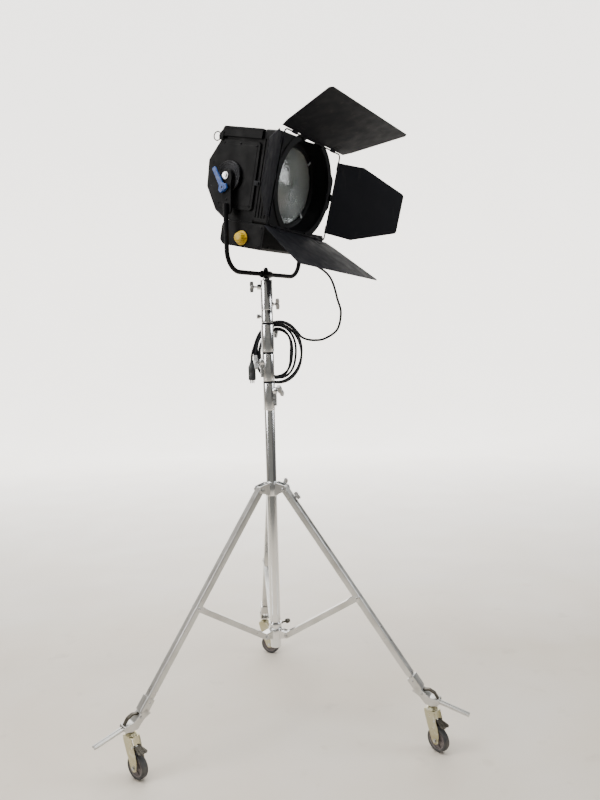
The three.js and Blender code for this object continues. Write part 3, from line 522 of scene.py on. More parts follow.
def sweep(points, r, n=16, closed=False):
    """Round rod along points, its section carried without twist."""
    pts = [Vector(p) for p in points]
    count = len(pts)
    tangents = []
    for i in range(count):
        a = pts[(i - 1) % count] if closed or i > 0 else pts[i]
        b = pts[(i + 1) % count] if closed or i < count - 1 else pts[i]
        tangents.append((b - a).normalized())
    side = tangents[0].orthogonal().normalized()
    verts, faces = [], []
    for i in range(count):
        side = (side - tangents[i] * side.dot(tangents[i])).normalized()
        other = tangents[i].cross(side)
        for k in range(n):
            a = 2 * math.pi * k / n
            verts.append(tuple(pts[i] + side * (r * math.cos(a)) + other * (r * math.sin(a))))
    for i in range(count if closed else count - 1):
        for k in range(n):
            a, b = i * n, ((i + 1) % count) * n
            faces.append((a + k, a + (k + 1) % n, b + (k + 1) % n, b + k))
    if not closed:
        faces.append(tuple(range(n)))
        faces.append(tuple((count - 1) * n + k for k in range(n)))
    return verts, faces


def fillet_path(points, r, steps=10):
    """Straight runs in space joined by arcs of radius r."""
    v = [Vector(p) for p in points]
    out = [v[0]]
    for i in range(1, len(v) - 1):
        a = (v[i - 1] - v[i]).normalized()
        b = (v[i + 1] - v[i]).normalized()
        half = a.angle(b) / 2
        back = r / math.tan(half)
        centre = v[i] + (a + b).normalized() * (r / math.sin(half))
        start = v[i] + a * back - centre
        end = v[i] + b * back - centre
        axis = start.cross(end).normalized()
        total = start.angle(end)
        for k in range(steps + 1):
            out.append(centre + Matrix.Rotation(total * k / steps, 3, axis) @ start)
    out.append(v[-1])
    return out


def to_mesh(name, parts, place):
    bm = bmesh.new()
    for verts, faces in parts:
        made = [bm.verts.new(v) for v in verts]
        for f in faces:
            bm.faces.new([made[i] for i in f])
    bmesh.ops.recalc_face_normals(bm, faces=bm.faces)
    bm.transform(place)
    mesh = bpy.data.meshes.new(name)
    bm.to_mesh(mesh)
    bm.free()
    return mesh


def with_cuts(obj, cuts, place):
    """Cuts each part out of the object, and keeps the result as its mesh."""
    tool = bpy.data.objects.new("tool", to_mesh("tool", cuts, place))
    bpy.context.scene.collection.objects.link(tool)
    m = obj.modifiers.new("cut", "BOOLEAN")
    m.operation = "DIFFERENCE"
    m.solver = "EXACT"
    m.use_self = True
    m.object = tool
    bpy.context.view_layer.update()
    done = bpy.data.meshes.new_from_object(obj.evaluated_get(bpy.context.evaluated_depsgraph_get()))
    obj.modifiers.clear()
    obj.data = done
    bpy.data.objects.remove(tool)


def make(name, parts, place, body, look, slot=None, bevel=0.0, cuts=None, hides=(), smooth=34,
         segments=2):
    """One piece: its parts joined, placed, cut, softened at the edges, coloured and tied to its body."""
    obj = bpy.data.objects.new(name, to_mesh(name, parts, place))
    bpy.context.scene.collection.objects.link(obj)
    if cuts:
        with_cuts(obj, cuts, place)
    obj.data.materials.clear()
    obj.data.materials.append(LOOKS[look])
    obj.data.shade_smooth()
    obj.data.set_sharp_from_angle(angle=rad(smooth))
    if bevel:
        m = obj.modifiers.new("edge", "BEVEL")
        m.width = bevel * MM
        m.segments = segments
        m.limit_method = "ANGLE"
        m.angle_limit = rad(smooth)
        m.harden_normals = True
    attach(obj, body)
    if hides:
        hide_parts(*hides)
    return obj


def piece(name, *shape, **looks):
    """A piece that stands for the CAD node of its own name."""
    return make(name, *shape, hides=[name], **looks)


def screw(r, axis, at, up=1):
    """Pan head screw with a shallow recess."""
    h = r * 0.7 * up
    return lathe([(0, -0.6 * up), (r, -0.6 * up), (r, h * 0.35), (r * 0.8, h * 0.85), (r * 0.42, h),
                  (r * 0.30, h * 0.55), (0, h * 0.55)], 20, axis, at)


def dome(r, height, axis, at, up=1):
    """Rivet head."""
    steps = [(r * math.cos(t), height * math.sin(t) * up) for t in (0, 0.4, 0.8, 1.2)]
    return lathe([(0, -0.5 * up), (r, -0.5 * up)] + steps + [(0, height * up)], 24, axis, at)


def ring(ro, ri, a, b, s=1.2):
    return [(ri, a), (ro - s, a), (ro - s * 0.3, a + s * 0.3), (ro, a + s), (ro, b - s),
            (ro - s * 0.3, b - s * 0.3), (ro - s, b), (ri, b), (ri, a)]


def both(*parts):
    """Each part and its mirror image on the other side of y = 0."""
    out = []
    for verts, faces in parts:
        out += [(verts, faces), ([(x, -y, z) for x, y, z in verts], faces)]
    return out


def at_azimuth(parts, azimuth):
    return [moved(p, turned_about("Z", azimuth)) for p in parts]


# ---- column, risers and their screws
COLLARS = {
    # body, collar radius, tube radius, bore, tube from, collar from, collar to
    "base_column": ("stand", 25.5, 23, 20.9, 330, 1386, 1503),
    "riser_1": ("riser_1", 25.5, 20, 17.8, 420, 1511, 1628),
    "riser_2": ("riser_2", 27.5, 17, 14.8, 470, 1636, 1753),
}
# azimuth, height and boss radius of each collar's clamp screw
CLAMPS = {"base_column": (-22, 1470, 15), "riser_1": (188, 1594, 15), "riser_2": (62, 1718, 10)}


def add_column():
    for name, (body, collar, tube, bore, start, low_z, high_z) in COLLARS.items():
        azimuth, clamp_z, boss = CLAMPS[name]
        parts = [lathe(ring(tube, bore, start, low_z + 4, 0.8), 96),
                 lathe(ring(collar, bore, low_z, high_z, 2.2), 96)]
        clamp = [bar(boss, 21.4, 37 if boss > 10 else 29.5, "X", (0, 0, clamp_z), 48, 1.6)]
        if boss > 10:
            clamp.append(prism(oblong(21.8, 34, -9, 9, 2.5), clamp_z - 65, clamp_z + 12))
        piece(name, parts + at_azimuth(clamp, azimuth), STAND, body, "chrome_tube", bevel=0.6)
        grooves = [lathe(ring(collar + 0.5, collar - 1, low_z + 8 + k, low_z + 9.6 + k, 0.4), 96)
                   for k in (0, 96)]
        make(f"{name}_bands", grooves, STAND, body, "chrome_tube")
        bolts = []
        for z in (clamp_z - 52, clamp_z - 30):
            bolts += both(hexagon(8, 8.6, 12.4, "Y", (28, 0, z)))
        if boss > 10:
            make(f"{name}_pinch_bolts", at_azimuth(bolts, azimuth), STAND, body, "bright_steel")
        rubber = lathe(ring(24.6, bore - 0.5, high_z + 0.3, high_z + 7.6, 1.8), 72)
        make(f"{name}_bumper", [rubber], STAND, body, "cord_rubber")

    top = lathe([(0, 520), (13, 520), (14, 521), (14, 1761), (24, 1761), (25.5, 1762.5), (25.5, 1812),
                 (24.6, 1813.4), (24.6, 1815.6), (26, 1817), (26, 1938), (24.5, 1941), (16, 1941),
                 (14.5, 1939), (14.5, 1820), (0, 1820)], 96)
    bosses = at_azimuth([bar(12, 21, 40, "X", (0, 0, 1913), 48, 1.4)], 184)
    bosses += at_azimuth([bar(9, 21, 30, "X", (0, 0, 1839), 40, 1.2)], -8)
    bosses += at_azimuth([bar(8, 21, 28, "X", (0, 0, 1788), 40, 1.2)], 186)
    piece("riser_3", [top] + bosses, STAND, "riser_3", "chrome_tube", bevel=0.5)


# start of the stem, stem length, span of the handle, turn about the stem, whether it is a large one
KNOBS = {
    "knob_base": (38, 12, 46, 50, True),
    "knob_riser_1": (38, 12, 46, 35, True),
    "knob_riser_2": (30, 47, 34, 15, False),
    "knob_receiver_low": (31, 12, 34, 20, False),
    "knob_receiver_top": (41, 18, 34, 0, False),
    "knob_leg_collar": (41, 21, 34, 25, False),
}


def thread(r, a, b, pitch=1.5):
    """Screw stem with its thread crests as rings."""
    profile = [(0, a)]
    h = a
    while h < b - pitch:
        profile += [(r - 0.55, h), (r, h + pitch * 0.35), (r, h + pitch * 0.5),
                    (r - 0.55, h + pitch * 0.85)]
        h += pitch
    return profile + [(r - 0.55, b), (0, b)]


def wing(hub, span, thick, big):
    w = 9 if big else 6
    outline = [(hub - 4, -span / 2 - w), (hub + 10, -span / 2 - w), (hub + 12, -span / 4), (hub + 9, 0),
               (hub + 12, span / 4), (hub + 10, span / 2 + w), (hub - 4, span / 2 + w),
               (hub - 4, span / 4), (hub - 5, 0), (hub - 4, -span / 4)]
    return prism(rounded(outline, [4, 4, 12, 12, 12, 4, 4, 10, 12, 10], 6), -thick, thick, "xz")


def add_knobs():
    for name, (start, stem, span, turn, big) in KNOBS.items():
        j = joint(f"{name}_turn")
        place = radial(azimuth_of(j["axis"])) @ shift(0, 0, j["pos_m"][2] / MM) @ turned_about("X", turn)
        hub = start + stem
        r = 11 if big else 9
        handle = [wing(hub, span, 7 if big else 6, big),
                  lathe([(0, hub - 6), (r - 1, hub - 6), (r, hub - 5), (r, hub + 5), (r * 0.7, hub + 9),
                         (0, hub + 10)], 40, "X")]
        piece(name, handle, place, name, "cast_grey", bevel=1.9, segments=3)
        tip = start - (14 if big else 7)
        make(f"{name}_stem", [lathe(thread(4.2, tip, hub - 4), 28, "X")], place, name, "bright_steel")
    j = joint("knob_riser_3_turn")
    place = radial(azimuth_of(j["axis"])) @ shift(0, 0, j["pos_m"][2] / MM)
    small = fluted([(0, 30), (8, 30), (9.5, 31.5), (9.5, 42), (8, 44), (0, 44)], 60, 0.05, 12, 5, "X")
    piece("knob_riser_3", [small, lathe(thread(3.8, 23, 31), 28, "X")], place, "knob_riser_3",
          "cast_grey")


def fluted(profile, n, depth, count, limit, axis="Z", at=(0, 0, 0)):
    """Turned piece whose wide part carries finger flutes."""
    verts, faces = lathe(profile, n)
    out = []
    for x, y, z in verts:
        r = math.hypot(x, y)
        k = 1 - depth * (0.5 + 0.5 * math.cos(count * math.atan2(y, x))) if r > limit else 1
        out.append((x * k, y * k, z))
    return moved((out, faces), shift(*at) @ ALONG[axis])


# ---- leg collar, spider, legs, braces
def add_leg_collar():
    w = LEG_W / 2 + 0.4
    z = HINGE_Z
    ear = rounded([(24.5, -30), (HINGE_R - 4, -14), (HINGE_R + 14, -12), (HINGE_R + 17, 3),
                   (HINGE_R + 8, 17), (24.5, 28)], [1, 8, 9, 9, 9, 1], 6)
    parts = [lathe(ring(30, 23.4, z - 32, z + 30, 2), 96)]
    bolts = []
    for azimuth in LEG_AZ.values():
        ears = both(prism([(u, v + z) for u, v in ear], w, w + 5, "xz"))
        ears.append(prism(oblong(27, 34, -w - 1, w + 1, 2), z - 24, z + 22))
        pins = [bar(4, -w - 8, w + 8, "Y", (HINGE_R, 0, z)),
                hexagon(12, w + 5, w + 10, "Y", (HINGE_R, 0, z)),
                lathe(ring(8, 4, -w - 6.4, -w - 5, 0.4), 32, "Y", (HINGE_R, 0, z)),
                dome(6.5, 4, "Y", (HINGE_R, -w - 6, z), -1)]
        parts += at_azimuth(ears, azimuth)
        bolts += at_azimuth(pins, azimuth)
    knob_az = azimuth_of(joint("knob_leg_collar_turn")["axis"])
    parts += at_azimuth([bar(11, 26, 41, "X", (0, 0, z + 14), 40, 1.4)], knob_az)
    piece("leg_collar", parts, STAND, "leg_collar", "chrome_tube", bevel=0.9)
    make("leg_collar_bolts", bolts, STAND, "leg_collar", "bright_steel", bevel=0.3)


def add_spider():
    w = LEG_W / 2
    z = SPIDER_Z
    lug = rounded([(24.5, -20), (SPIDER_R + 2, -12), (SPIDER_R + 11, -6), (SPIDER_R + 11, 6),
                   (SPIDER_R + 2, 12), (24.5, 20)], [1, 6, 7, 7, 6, 1], 6)
    parts = [lathe(ring(30, 23.3, 369, 418, 2), 96)]
    bolts = []
    for azimuth in LEG_AZ.values():
        parts += at_azimuth([prism([(u, v + z) for u, v in lug], -w, w, "xz")], azimuth)
        bolts += at_azimuth([bar(4, -w - 7, w + 7, "Y", (SPIDER_R, 0, z)),
                             hexagon(11, w + 3.6, w + 8, "Y", (SPIDER_R, 0, z)),
                             dome(6, 4, "Y", (SPIDER_R, -w - 3.6, z), -1)], azimuth)
    piece("brace_spider", parts, STAND, "stand", "chrome_tube", bevel=0.9)
    make("spider_bolts", bolts, STAND, "stand", "bright_steel", bevel=0.3)
    knob = [fluted([(0, 56), (8, 56), (10.5, 58), (10.5, 70), (8, 74), (0, 75)], 60, 0.08, 6, 5, "X",
                   (0, 0, 430)),
            lathe(thread(3.8, 24, 57), 28, "X", (0, 0, 430)),
            bar(7.5, 24, 34, "X", (0, 0, 430), 32, 1)]
    make("spider_set_knob", at_azimuth(knob, 32), STAND, "stand", "brake_steel")
    make("spider_upper_ring", [lathe(ring(28.5, 23.3, 418.4, 442, 1.6), 96)], STAND, "stand",
         "chrome_tube")


def add_legs():
    end = -LEG_LEN
    outer = oblong(-LEG_D / 2, LEG_D / 2, -LEG_W / 2, LEG_W / 2, 4, 6)
    lug = bar(LEG_D / 2, -LEG_W / 2, LEG_W / 2, "Y", n=48, soft=1.2)
    for side in ("left", "back"):
        piece(f"leg_{side}", [prism(outer, end + 10, -2), lug], along_leg(side), f"leg_{side}",
              "chrome_leg", bevel=0.6)
    place = along_leg("right")
    piece("leg_right", [prism(outer, end + 44, -2), lug], place, "leg_right", "chrome_leg", bevel=0.6,
          cuts=[prism(oblong(-12, 12, -15, 15, 2), end, -26),
                prism(oblong(-5, 5, -330, -40, 4.9, 8), 6, 30, "yz")])
    piece("leg_right_inner", [prism(oblong(-11.2, 11.2, -14.2, 14.2, 2.5, 5), end + 10, -32)], place,
          "leg_level", "chrome_leg", bevel=0.4)
    turn = place @ shift(0, 0, -56)
    handle = [wing(28, 22, 4, False), bar(7.5, 15, 20, "X", soft=1), bar(6, 24, 35, "X", soft=1.5)]
    piece("knob_level", handle, turn, "knob_level", "cast_grey", bevel=1.8, segments=3)
    make("knob_level_stem", [lathe(thread(3.2, 3, 27), 28, "X")], turn, "knob_level", "bright_steel")


def add_braces():
    w = LEG_W / 2 + 0.4
    n = BRACE_LEN
    cheek = rounded([(-12, -12), (n + 12, -12), (n + 12, 12), (-12, 12)], 11.5, 9)
    for side, azimuth in LEG_AZ.items():
        place = radial(azimuth) @ shift(SPIDER_R, 0, SPIDER_Z) @ turned_about("Y", -BRACE_ELEV)
        parts = both(prism(cheek, w, w + 3, "xz"))
        parts.append(prism(oblong(48, n - 48, -w - 2.4, w + 2.4, 5), 9.6, 12))
        piece(f"brace_{side}", parts, place, f"brace_{side}", "chrome_leg", bevel=0.8)
        rivets = both(dome(6.5, 3.4, "Y", (n, w + 3, 0)), dome(3.2, 1.8, "Y", (60, w + 3, 0)))
        make(f"brace_{side}_rivets", rivets, place, f"brace_{side}", "bright_steel")


# ---- feet and casters
FOOT_BODY = {"left": "leg_left", "right": "leg_level", "back": "leg_back"}


def add_feet():
    w = LEG_W / 2 + 0.4
    leg_here = shift(HINGE_R, 0, HINGE_Z) @ turned_about("Y", -LEG_TILT)
    cheek = rounded([(640, 262), (668, 244), (694, 222), (734, 214), (738, 198), (712, 190),
                     (680, 190), (652, 222), (622, 238)], [3, 10, 14, 5, 5, 3, 6, 14, 3], 5)
    web = rounded([(640, 261), (668, 243), (694, 221), (733, 213), (732, 208), (692, 215),
                   (664, 237), (636, 256)], [1, 10, 12, 1, 1, 12, 10, 1], 5)
    rail = rounded([(716, 210), (736, 206), (855, 171), (853, 163), (734, 197), (716, 201)],
                   [2, 8, 3, 3, 8, 2], 5)
    floor_of_bar = [(738, 203), (848, 171), (850, 165), (736, 198)]
    clip = rounded([(664, 246), (690, 252), (714, 240), (731, 214), (726, 211), (709, 233),
                    (690, 244), (668, 240)], [1, 16, 12, 2, 2, 12, 14, 1], 6)
    for side, azimuth in LEG_AZ.items():
        place = radial(azimuth)
        body = FOOT_BODY[side]
        inner = (11.6, 14.6) if side == "right" else (14.4, 17.4)
        end = -LEG_LEN
        socket = moved(prism(oblong(-19, 19, -w - 5, w + 5, 6, 6), end - 26, end + 34), leg_here)
        parts = both(prism(cheek, w, w + 5, "xz"), prism(rail, 5, 13, "xz"))
        parts += [prism(web, -w - 0.5, w + 0.5, "xz"),
                  prism(oblong(676, 728, -w - 2, w + 2, 6), CASTER_TOP - 12, CASTER_TOP - 4),
                  prism(floor_of_bar, -5.5, 5.5, "xz"),
                  bar(15, CASTER_TOP - 19, CASTER_TOP - 3, "Z", (CASTER_R, 0, 0), 48, 1.5)]
        bore = oblong(-inner[0], inner[0], -inner[1], inner[1], 2)
        hole = moved(prism(bore, end - 16, end + 60), leg_here)
        make(f"foot_{side}_socket", [socket], place, body, "chrome_leg", bevel=1.2, cuts=[hole])
        piece(f"foot_{side}", parts, place, body, "chrome_leg", bevel=1.1)
        bolts = both(hexagon(9, w + 4.6, w + 9, "Y", (663, 0, 233)),
                     moved(screw(4, "Y", (0, w + 5, end + 18)), leg_here))
        make(f"foot_{side}_bolts", bolts, place, body, "bright_steel", bevel=0.3)
        make(f"foot_{side}_clip", [prism(clip, -8, 8, "xz")], place, body, "brake_steel", bevel=0.9)


def add_casters():
    for side in LEG_AZ:
        axle = Vector(joint(f"wheel_{side}_spin")["axis"])
        pos = Vector(joint(f"caster_{side}_swivel")["pos_m"])
        place = basis((pos.x, pos.y, 0), axle.cross(Vector((0, 0, 1))), axle, (0, 0, 1))
        fork, wheel, brake = f"fork_{side}", f"wheel_{side}", f"brake_{side}"
        w = 18
        cheek = rounded([(-24, 168), (27, 168), (54, 78), (TRAIL + 15, 42), (TRAIL + 5, 34),
                         (TRAIL - 6, 34), (TRAIL - 17, 46), (-10, 112), (-24, 156)],
                        [4, 6, 30, 9, 7, 7, 9, 30, 8], 6)
        parts = both(prism(cheek, w, w + 3, "xz"))
        parts += [prism(oblong(-24, 27, -w - 2.6, w + 2.6, 6), 164, 168),
                  lathe([(0, 160), (19, 160), (24, 166), (24.5, 169), (24, 172), (21, 173.5), (21, 175),
                         (19, 177), (13, 180.6), (0, 180.6)], 64)]
        piece(fork, parts, place, fork, "zinc_olive", bevel=0.9)
        axis_at = (TRAIL, 0, AXLE_Z)
        bolt = both(hexagon(12, w + 3, w + 8.5, "Y", axis_at),
                    lathe(ring(8, 4, w + 3, w + 4.4, 0.4), 32, "Y", axis_at),
                    dome(4.5, 2.4, "Y", (30, w + 3, 130)))
        bolt += [bar(4, -w - 7, w + 7, "Y", axis_at), bar(5.5, 178, CASTER_TOP - 11),
                 hexagon(17, 181, 184), bar(2.6, -w - 5, w + 5, "Y", (30, 0, 130))]
        make(f"{fork}_axle", bolt, place, fork, "bright_steel", bevel=0.3)
        tyre = [(37.5, -11), (42, -14), (46, -14), (48.6, -11.5), (49.7, -8), (50, -4), (50, 4),
                (49.7, 8), (48.6, 11.5), (46, 14), (42, 14), (37.5, 11), (37.5, -11)]
        hub = [(4.6, -14.4), (12, -14.4), (14, -13), (15.5, -8), (17, -7), (31, -7), (33, -8),
               (35, -11.6), (38.5, -12), (38.5, 12), (35, 11.6), (33, 8), (31, 7), (17, 7),
               (15.5, 8), (14, 13), (12, 14.4), (4.6, 14.4), (4.6, -14.4)]
        piece(wheel, [lathe(tyre, 80, "Y", axis_at)], place, wheel, "tyre_grey")
        ribs = []
        for k in range(6):
            rib = prism(oblong(14, 35, -1.4, 1.4, 0.8), -10.5, 10.5)
            rib = moved(rib, turned_about("Z", 60 * k))
            ribs.append(moved(rib, shift(*axis_at) @ turned_about("X", -90)))
        make(f"{wheel}_hub", [lathe(hub, 72, "Y", axis_at)] + ribs, place, wheel, "hub_plastic",
             slot="tyre_grey", bevel=0.4)
        arm = rounded([(25, 134), (33, 137), (58, 128), (80, 117), (79, 113.5), (56, 123), (44, 113),
                       (30, 106), (25, 112)], [3, 4, 8, 1, 1, 8, 8, 3, 3], 5)
        pad = rounded([(44, -13), (82, -22), (88, -17), (88, 17), (82, 22), (44, 13)],
                      [2, 5, 5, 5, 5, 2], 5)
        tread = [prism(oblong(56 + 9 * k, 59 + 9 * k, -13 - 1.5 * k, 13 + 1.5 * k, 1.2), 2.6, 4.2)
                 for k in range(3)]
        lean = shift(-5, 0, 149) @ turned_about("Y", 24)
        pedal = both(prism(arm, 8, 11, "xz")) + [moved(t, lean) for t in [prism(pad, 0, 3)] + tread]
        piece(brake, pedal, place, brake, "brake_steel", bevel=0.7)


# ---- yoke and spigot
def add_yoke():
    path = fillet_path([(0, -YOKE_Y, TILT_Z - 108), (0, -YOKE_Y, YOKE_Z), (0, YOKE_Y, YOKE_Z),
                        (0, YOKE_Y, TILT_Z - 108)], YOKE_BEND, 18)
    parts = [sweep(path, YOKE_R, 32), bar(15, -34, 34, "Y", (0, 0, YOKE_Z), 56, 3)]
    arm = rounded([(-20, -150), (20, -150), (24, -40), (30, -8), (24, 24), (-24, 24), (-30, -8),
                   (-24, -40)], [18, 18, 30, 18, 22, 22, 18, 30], 8)
    parts += both(prism([(u, v + TILT_Z) for u, v in arm], ARM_IN, ARM_OUT, "xz"))
    rivets = both(lathe(ring(13, 7, 0, 1.2, 0.3), 40, "Y", (0, ARM_OUT, TILT_Z)),
                  *[dome(5, 2.6, "Y", (0, ARM_OUT, TILT_Z + z)) for z in (-128, -92)])
    piece("yoke", parts, PAN, "yoke", "black_coat", bevel=1.6, segments=3)
    make("yoke_rivets", rivets, PAN, "yoke", "dark_steel")
    stud = [(0, YOKE_Z + 29)]
    stud += [(5.4, YOKE_Z + 29), (6, YOKE_Z + 28), (6, YOKE_Z - 15), (13, YOKE_Z - 15),
             (15.5, YOKE_Z - 17), (15.5, 1943), (14.2, 1942), (14.2, 1921), (13.4, 1920), (11.5, 1917),
             (11.5, 1907), (13.4, 1904.6), (14.2, 1903.6), (14.2, 1826), (12.5, 1823), (0, 1823)]
    nut = [hexagon(19, YOKE_Z + 16.8, YOKE_Z + 25.4),
           lathe(ring(11.4, 6, YOKE_Z + 15, YOKE_Z + 16.8, 0.5), 40)]
    piece("spigot", [lathe(stud, 56)], PAN, "yoke", "bright_steel")
    make("spigot_nut", nut, PAN, "yoke", "dark_steel", bevel=0.6)


def add_tilt_lever():
    place = PAN @ shift(-8, -ARM_OUT - 0.5, TILT_Z - 46) @ turned_about("Y", -26)
    arm = rounded([(-19, -15), (19, -15), (22, 2), (10, 13), (8.5, 90), (-8.5, 90), (-10, 13), (-22, 2)],
                  [4, 4, 5, 9, 4, 4, 9, 5], 6)
    body = [prism(arm, -14.5, -5, "xz"),
            lathe([(0, -16), (11, -16), (13, -14), (15, -6), (17, -1), (0, -1)], 48, "Y")]
    piece("tilt_lever", body, place, "tilt_lever", "lever_blue", bevel=2.2,
          segments=4)
    make("tilt_lever_screw", [lathe(thread(3.8, -1, 9), 28, "Y"),
                              lathe([(0, -16.6), (4, -16.6), (4.4, -15.8), (0, -15.8)], 32, "Y")],
         place, "tilt_lever", "dark_steel")


# ---- lamp head
def add_housing():
    shell = rounded([(SHELL_FRONT, SHELL_TOP), (-53.4, SHELL_TOP), (-125, 57), (-118, -47), (-60, -133),
                     (-10, SHELL_LOW), (SHELL_FRONT, SHELL_LOW)], [0.5, 10, 9, 9, 9, 9, 0.5], 5)
    hollow = [(SHELL_FRONT + 5, SHELL_TOP - 3), (-51.7, SHELL_TOP - 3), (-121.9, 56.3), (-115.2, -46.2),
              (-57.9, -130.8), (-9.1, SHELL_LOW + 3), (SHELL_FRONT + 5, SHELL_LOW + 3)]
    cuts = [prism(hollow, -HALF + 3, HALF - 3, "xz")]
    slope = (176 - 57) / (125 - 53.4)
    for z in (78, 98, 118, 138):
        x = -125 + (z - 57) / slope
        cuts.append(prism(oblong(-150, 150, z - 3, z + 3, 2.9, 5), x - 14, x + 14, "yz"))
    piece("housing_shell", [prism(shell, -HALF, HALF, "xz")], HEAD, "head", "black_coat", bevel=1.6,
          cuts=cuts)
    hood = rounded([(SHELL_FRONT - 1, 190), (-57, 190), (-78.6, 146.4), (-74.4, 143.6), (-54.4, 177),
                    (SHELL_FRONT - 1, 177)], [2, 8, 1.5, 1.5, 5, 1], 5)
    vents = []
    for x in (-10, 14, 38, 62, 86):
        for a, b in ((-190, -20), (20, 190)):
            vents.append(prism(oblong(x, x + 10, a, b, 4.8, 6), 170, 200))
    cheek = rounded([(SHELL_FRONT - 1.5, 187), (-56, 187), (-73, 152), (SHELL_FRONT - 1.5, 152)],
                    [2, 6, 6, 2], 4)
    lips = both(prism(cheek, HALF + 10, HALF + 14, "xz"))
    piece("top_hood", [prism(hood, -HALF - 14, HALF + 14, "xz")], HEAD, "head", "black_coat", bevel=1.2,
          cuts=vents)
    make("top_hood_lips", lips, HEAD, "head", "black_coat", bevel=1.2)
    baffle = prism(oblong(-20, 108, -196, 196, 6), 176.3, 178.2)
    make("vent_gauze", [baffle], HEAD, "head", "dark_steel")


PANEL = [(124, 130), (116, 140), (-57, 140), (-66.6, 134), (-108, 62), (-109, 50), (-103, -42),
         (-98, -54), (-58, -112), (-46, -120), (114, -120), (124, -110)]
PANEL_SCREWS = [(-50, 126), (30, 128), (110, 124), (-92, 48), (-88, -44), (-44, -106), (30, -108),
                (110, -104)]


def add_side_panels():
    for s, name in ((-1, "near"), (1, "far")):
        a, b = sorted((s * (HALF + 0.4), s * (HALF + 9)))
        c, d = sorted((s * (HALF + 8), s * (HALF + 10.2)))
        inset = [(u * 0.9 + 0.8, v * 0.88 + 1.2) for u, v in PANEL]
        piece(f"side_panel_{name}", [prism(rounded(PANEL, 5, 4), a, b, "xz"),
                                     prism(rounded(inset, 7, 4), c, d, "xz")],
              HEAD, "head", "black_coat", bevel=1.3)
        heads = [screw(4.2, "Y", (x, s * (HALF + 9), z), s) for x, z in PANEL_SCREWS]
        make(f"side_panel_{name}_screws", heads, HEAD, "head", "dark_steel")
        y = HALF + 9.3
        disc = [(0, y), (58, y), (60, y + 3), (60, y + 12), (57, y + 15.7)]
        for r in (50, 42, 34, 26):
            disc += [(r + 3, y + 15.7), (r + 2, y + 14.4), (r, y + 14.4), (r - 1, y + 15.7)]
        disc += [(12, y + 15.7), (6.6, y + 15.7), (6.6, ARM_OUT + 1.6), (0, ARM_OUT + 1.6)]
        turn = Matrix.Identity(4) if s > 0 else turned_about("Z", 180)
        piece(f"tilt_pivot_{name}", [moved(fluted(disc, 144, 0.02, 36, 55, "Y"), turn)], HEAD, "head",
              "dark_steel")
        cap = [lathe(ring(15, 6, ARM_OUT + 1.5, ARM_OUT + 3.6, 0.5), 48, "Y"),
               hexagon(17, ARM_OUT + 3.6, ARM_OUT + 9.4, "Y"),
               lathe([(0, ARM_OUT + 9), (5, ARM_OUT + 9), (4.4, ARM_OUT + 11), (0, ARM_OUT + 11.4)],
                     32, "Y")]
        make(f"tilt_bolt_{name}", [moved(p, turn) for p in cap], HEAD, "head", "bright_steel")
    loop = []
    for k in range(48):
        t = 2 * math.pi * k / 48
        loop.append((-88 + 17 * math.cos(t), -HALF - 12, 148 + 17 * math.sin(t)))
    make("safety_ring", [sweep(loop, 2.4, 14, True)], HEAD, "head", "dark_steel")
    outline = rounded([(-74, 134), (-58, 134), (-54, 168), (-66, 172), (-78, 152)], [3, 3, 5, 5, 6], 6)
    tab = prism(outline, -HALF - 16.5, -HALF - 14, "xz")
    make("safety_ring_tab", [tab], HEAD, "head", "black_coat", bevel=0.8)


def add_base_box():
    outline = rounded([(190, BOX_TOP), (-4, BOX_TOP), (-14, -190), (-14, -246), (4, BOX_LOW),
                       (186, BOX_LOW), (196, -252), (196, BOX_TOP - 8)], [5, 8, 8, 8, 8, 6, 6, 5], 5)
    cap = [(91 + (u - 91) * 0.94, -212 + (v + 212) * 0.90) for u, v in outline]
    parts = [prism(outline, -HALF - 2.5, HALF + 2.5, "xz"),
             prism(cap, -HALF - 4, HALF + 4, "xz"),
             slab(-8, 14, -HALF - 10, -HALF, -244, -196)]
    piece("base_box", parts, HEAD, "head", "black_coat", bevel=1.5)
    heads = both(*[screw(3.8, "Y", (x, HALF + 4, z))
                   for x, z in ((6, -178), (180, -178), (180, -248), (10, -250))])
    for y in (-180, 0, 180):
        heads.append(screw(3.8, "X", (196, y, -176)))
        heads.append(screw(3.8, "X", (196, y, -248)))
    make("base_box_screws", heads, HEAD, "head", "dark_steel")
    bezel = lathe(ring(25, 9.5, -1, 1.6, 0.6), 56, "Y", (96, -HALF - 4.6, -226))
    make("focus_bezel", [bezel], HEAD, "head", "dark_steel")
    y = HALF + 4
    gland = [hexagon(24, y, y + 6, "Y", GLAND),
             lathe([(5.1, y + 6), (11, y + 6), (11.5, y + 7), (11, y + 12), (8.6, y + 16), (7.2, y + 20),
                    (6.1, y + 30), (5.1, y + 30), (5.1, y + 6)], 48, "Y", GLAND)]
    make("cable_gland", gland, HEAD, "head", "cord_rubber")


def add_focus_knob():
    place = HEAD @ shift(96, -HALF - 1, -226)
    flange = [(0, -8), (6, -8), (6, 5), (26.6, 5), (28.4, 6), (29, 7.4), (28.6, 10.2), (27.4, 11.2),
              (23, 12), (0, 12)]
    grip = [(0, 11), (22, 11), (21, 15), (20, 28.4), (18.4, 32), (15, 34), (8, 34.5), (0, 34.5)]
    turn = turned_about("X", 90)
    slit = moved(slab(-34, 34, -2, 2, 8, 14), turn)
    piece("focus_knob", [moved(fluted(flange, 112, 0.035, 28, 20), turn)], place, "focus_knob",
          "knob_yellow", bevel=0.4, cuts=[slit])
    make("focus_knob_grip", [moved(fluted(grip, 112, 0.07, 14, 14), turn)], place, "focus_knob",
         "knob_yellow")


